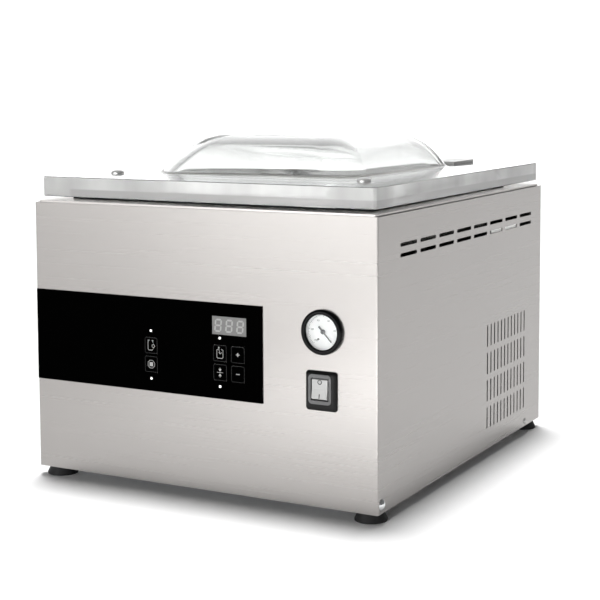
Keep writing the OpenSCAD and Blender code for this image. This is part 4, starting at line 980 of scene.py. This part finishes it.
world = bpy.data.worlds.new("studio")
scene.world = world
world.use_nodes = True
sky = world.node_tree
sky.nodes.clear()
out = sky.nodes.new("ShaderNodeOutputWorld")
background = sky.nodes.new("ShaderNodeBackground")
sky.links.new(background.outputs[0], out.inputs[0])
direction = sky.nodes.new("ShaderNodeTexCoord")
parts = sky.nodes.new("ShaderNodeSeparateXYZ")
sky.links.new(direction.outputs["Generated"], parts.inputs[0])
azimuth = maths(sky, "ARCTAN2", parts.outputs["X"], maths(sky, "MULTIPLY", parts.outputs["Y"], -1.0))
share_round = ranged(sky, azimuth, 0.0, 1.0, -math.pi, math.pi)


def studio_band(levels, fade_from, fade_to):
    """Light all round, by degrees from the object's front (positive to its right), fading with height."""
    brightest = max(value for _, value in levels)
    ramp = sky.nodes.new("ShaderNodeValToRGB")
    sky.links.new(share_round, ramp.inputs[0])
    elements = ramp.color_ramp.elements
    while len(elements) > 1:
        elements.remove(elements[-1])
    for index, (degrees, value) in enumerate(levels):
        place = degrees / 360 + 0.5
        element = elements[0] if index == 0 else elements.new(place)
        element.position = place
        element.color = (value / brightest,) * 3 + (1,)
    fade = ranged(sky, parts.outputs["Z"], brightest, 0.0, fade_from, fade_to)
    fade.node.interpolation_type = "SMOOTHSTEP"
    return maths(sky, "MULTIPLY", ramp.outputs[0], fade)


TOP_LIGHT = 0.12
BACKDROP = 1.5
tall = studio_band([(-180, 0.5), (-172, 1.45), (-128, 1.45), (-100, 0.5), (-62, 0.1), (90, 0.1), (160, 0.15),
                    (180, 0.5)], 0.30, 0.85)
low_front = studio_band([(-180, 0.0), (-172, 0.9), (-128, 0.9), (-100, 0.0), (-50, 0.0), (-30, 5.0),
                         (10, 5.0), (36, 0.0)], 0.10, 0.42)
# Seen directly, the backdrop is plain white
light_path = sky.nodes.new("ShaderNodeLightPath")
plain = sky.nodes.new("ShaderNodeMix")
feed(sky, plain.inputs["Factor"], light_path.outputs["Is Camera Ray"])
feed(sky, plain.inputs["A"], maths(sky, "ADD", maths(sky, "ADD", tall, low_front), TOP_LIGHT))
feed(sky, plain.inputs["B"], BACKDROP)
sky.links.new(plain.outputs[0], background.inputs["Strength"])


def lamp(name, kind, power, aim, up="Y"):
    light = bpy.data.lights.new(name, kind)
    light.energy = power
    holder = bpy.data.objects.new(name, light)
    scene.collection.objects.link(holder)
    holder.rotation_euler = Vector(aim).to_track_quat("-Z", up).to_euler()
    return holder


def soft_box(name, place, aim, up, size, power):
    """An area light that no camera sees."""
    box = lamp(name, "AREA", power, aim, up)
    box.data.shape = "RECTANGLE"
    box.data.size, box.data.size_y = size
    box.location = place
    box.visible_camera = box.visible_transmission = False
    return box


# A tall box in front that only glosses, a lamp that brightens the floor before the machine, and a soft sun
gloss = soft_box("front_gloss", (-0.42, FRONT - 1.25, 0.48), (0, 1, 0), "Z", (0.8, 0.95), 3.1)
gloss.visible_diffuse = False
floor_lamp = soft_box("floor_lamp", (0.34, FRONT - 0.80, 0.9), (0, 0, -1), "Y", (1.0, 0.9), 10.5)
floor_lamp.visible_glossy = False
floor_lamp.data.spread = math.radians(52)
sun = lamp("overhead_light", "SUN", 3.4, (0.085, -0.13, -1.0))
sun.visible_glossy = False
sun.data.angle = math.radians(15)

CAMERA_PLACE = Vector((0.7411, -1.3846, 0.4021))
TURN, TIP, ROLL = math.radians(28.441), math.radians(5.091), math.radians(-0.25)
camera_data = bpy.data.cameras.new("camera")
camera_data.sensor_width = 36.0
camera_data.lens = 87.079
camera_data.shift_y = -0.15
camera_data.clip_start, camera_data.clip_end = 0.01, 60.0
camera = bpy.data.objects.new("camera", camera_data)
scene.collection.objects.link(camera)
scene.camera = camera
forward = Vector((-math.sin(TURN) * math.cos(TIP), math.cos(TURN) * math.cos(TIP), -math.sin(TIP)))
level = Vector((math.cos(TURN), math.sin(TURN), 0))
rise = level.cross(forward)
across = level * math.cos(ROLL) + rise * math.sin(ROLL)
upward = rise * math.cos(ROLL) - level * math.sin(ROLL)
pose = Matrix((across, upward, -forward)).transposed().to_4x4()
camera.matrix_world = Matrix.Translation(CAMERA_PLACE) @ pose

scene.view_settings.view_transform = "Standard"
scene.view_settings.look = "None"
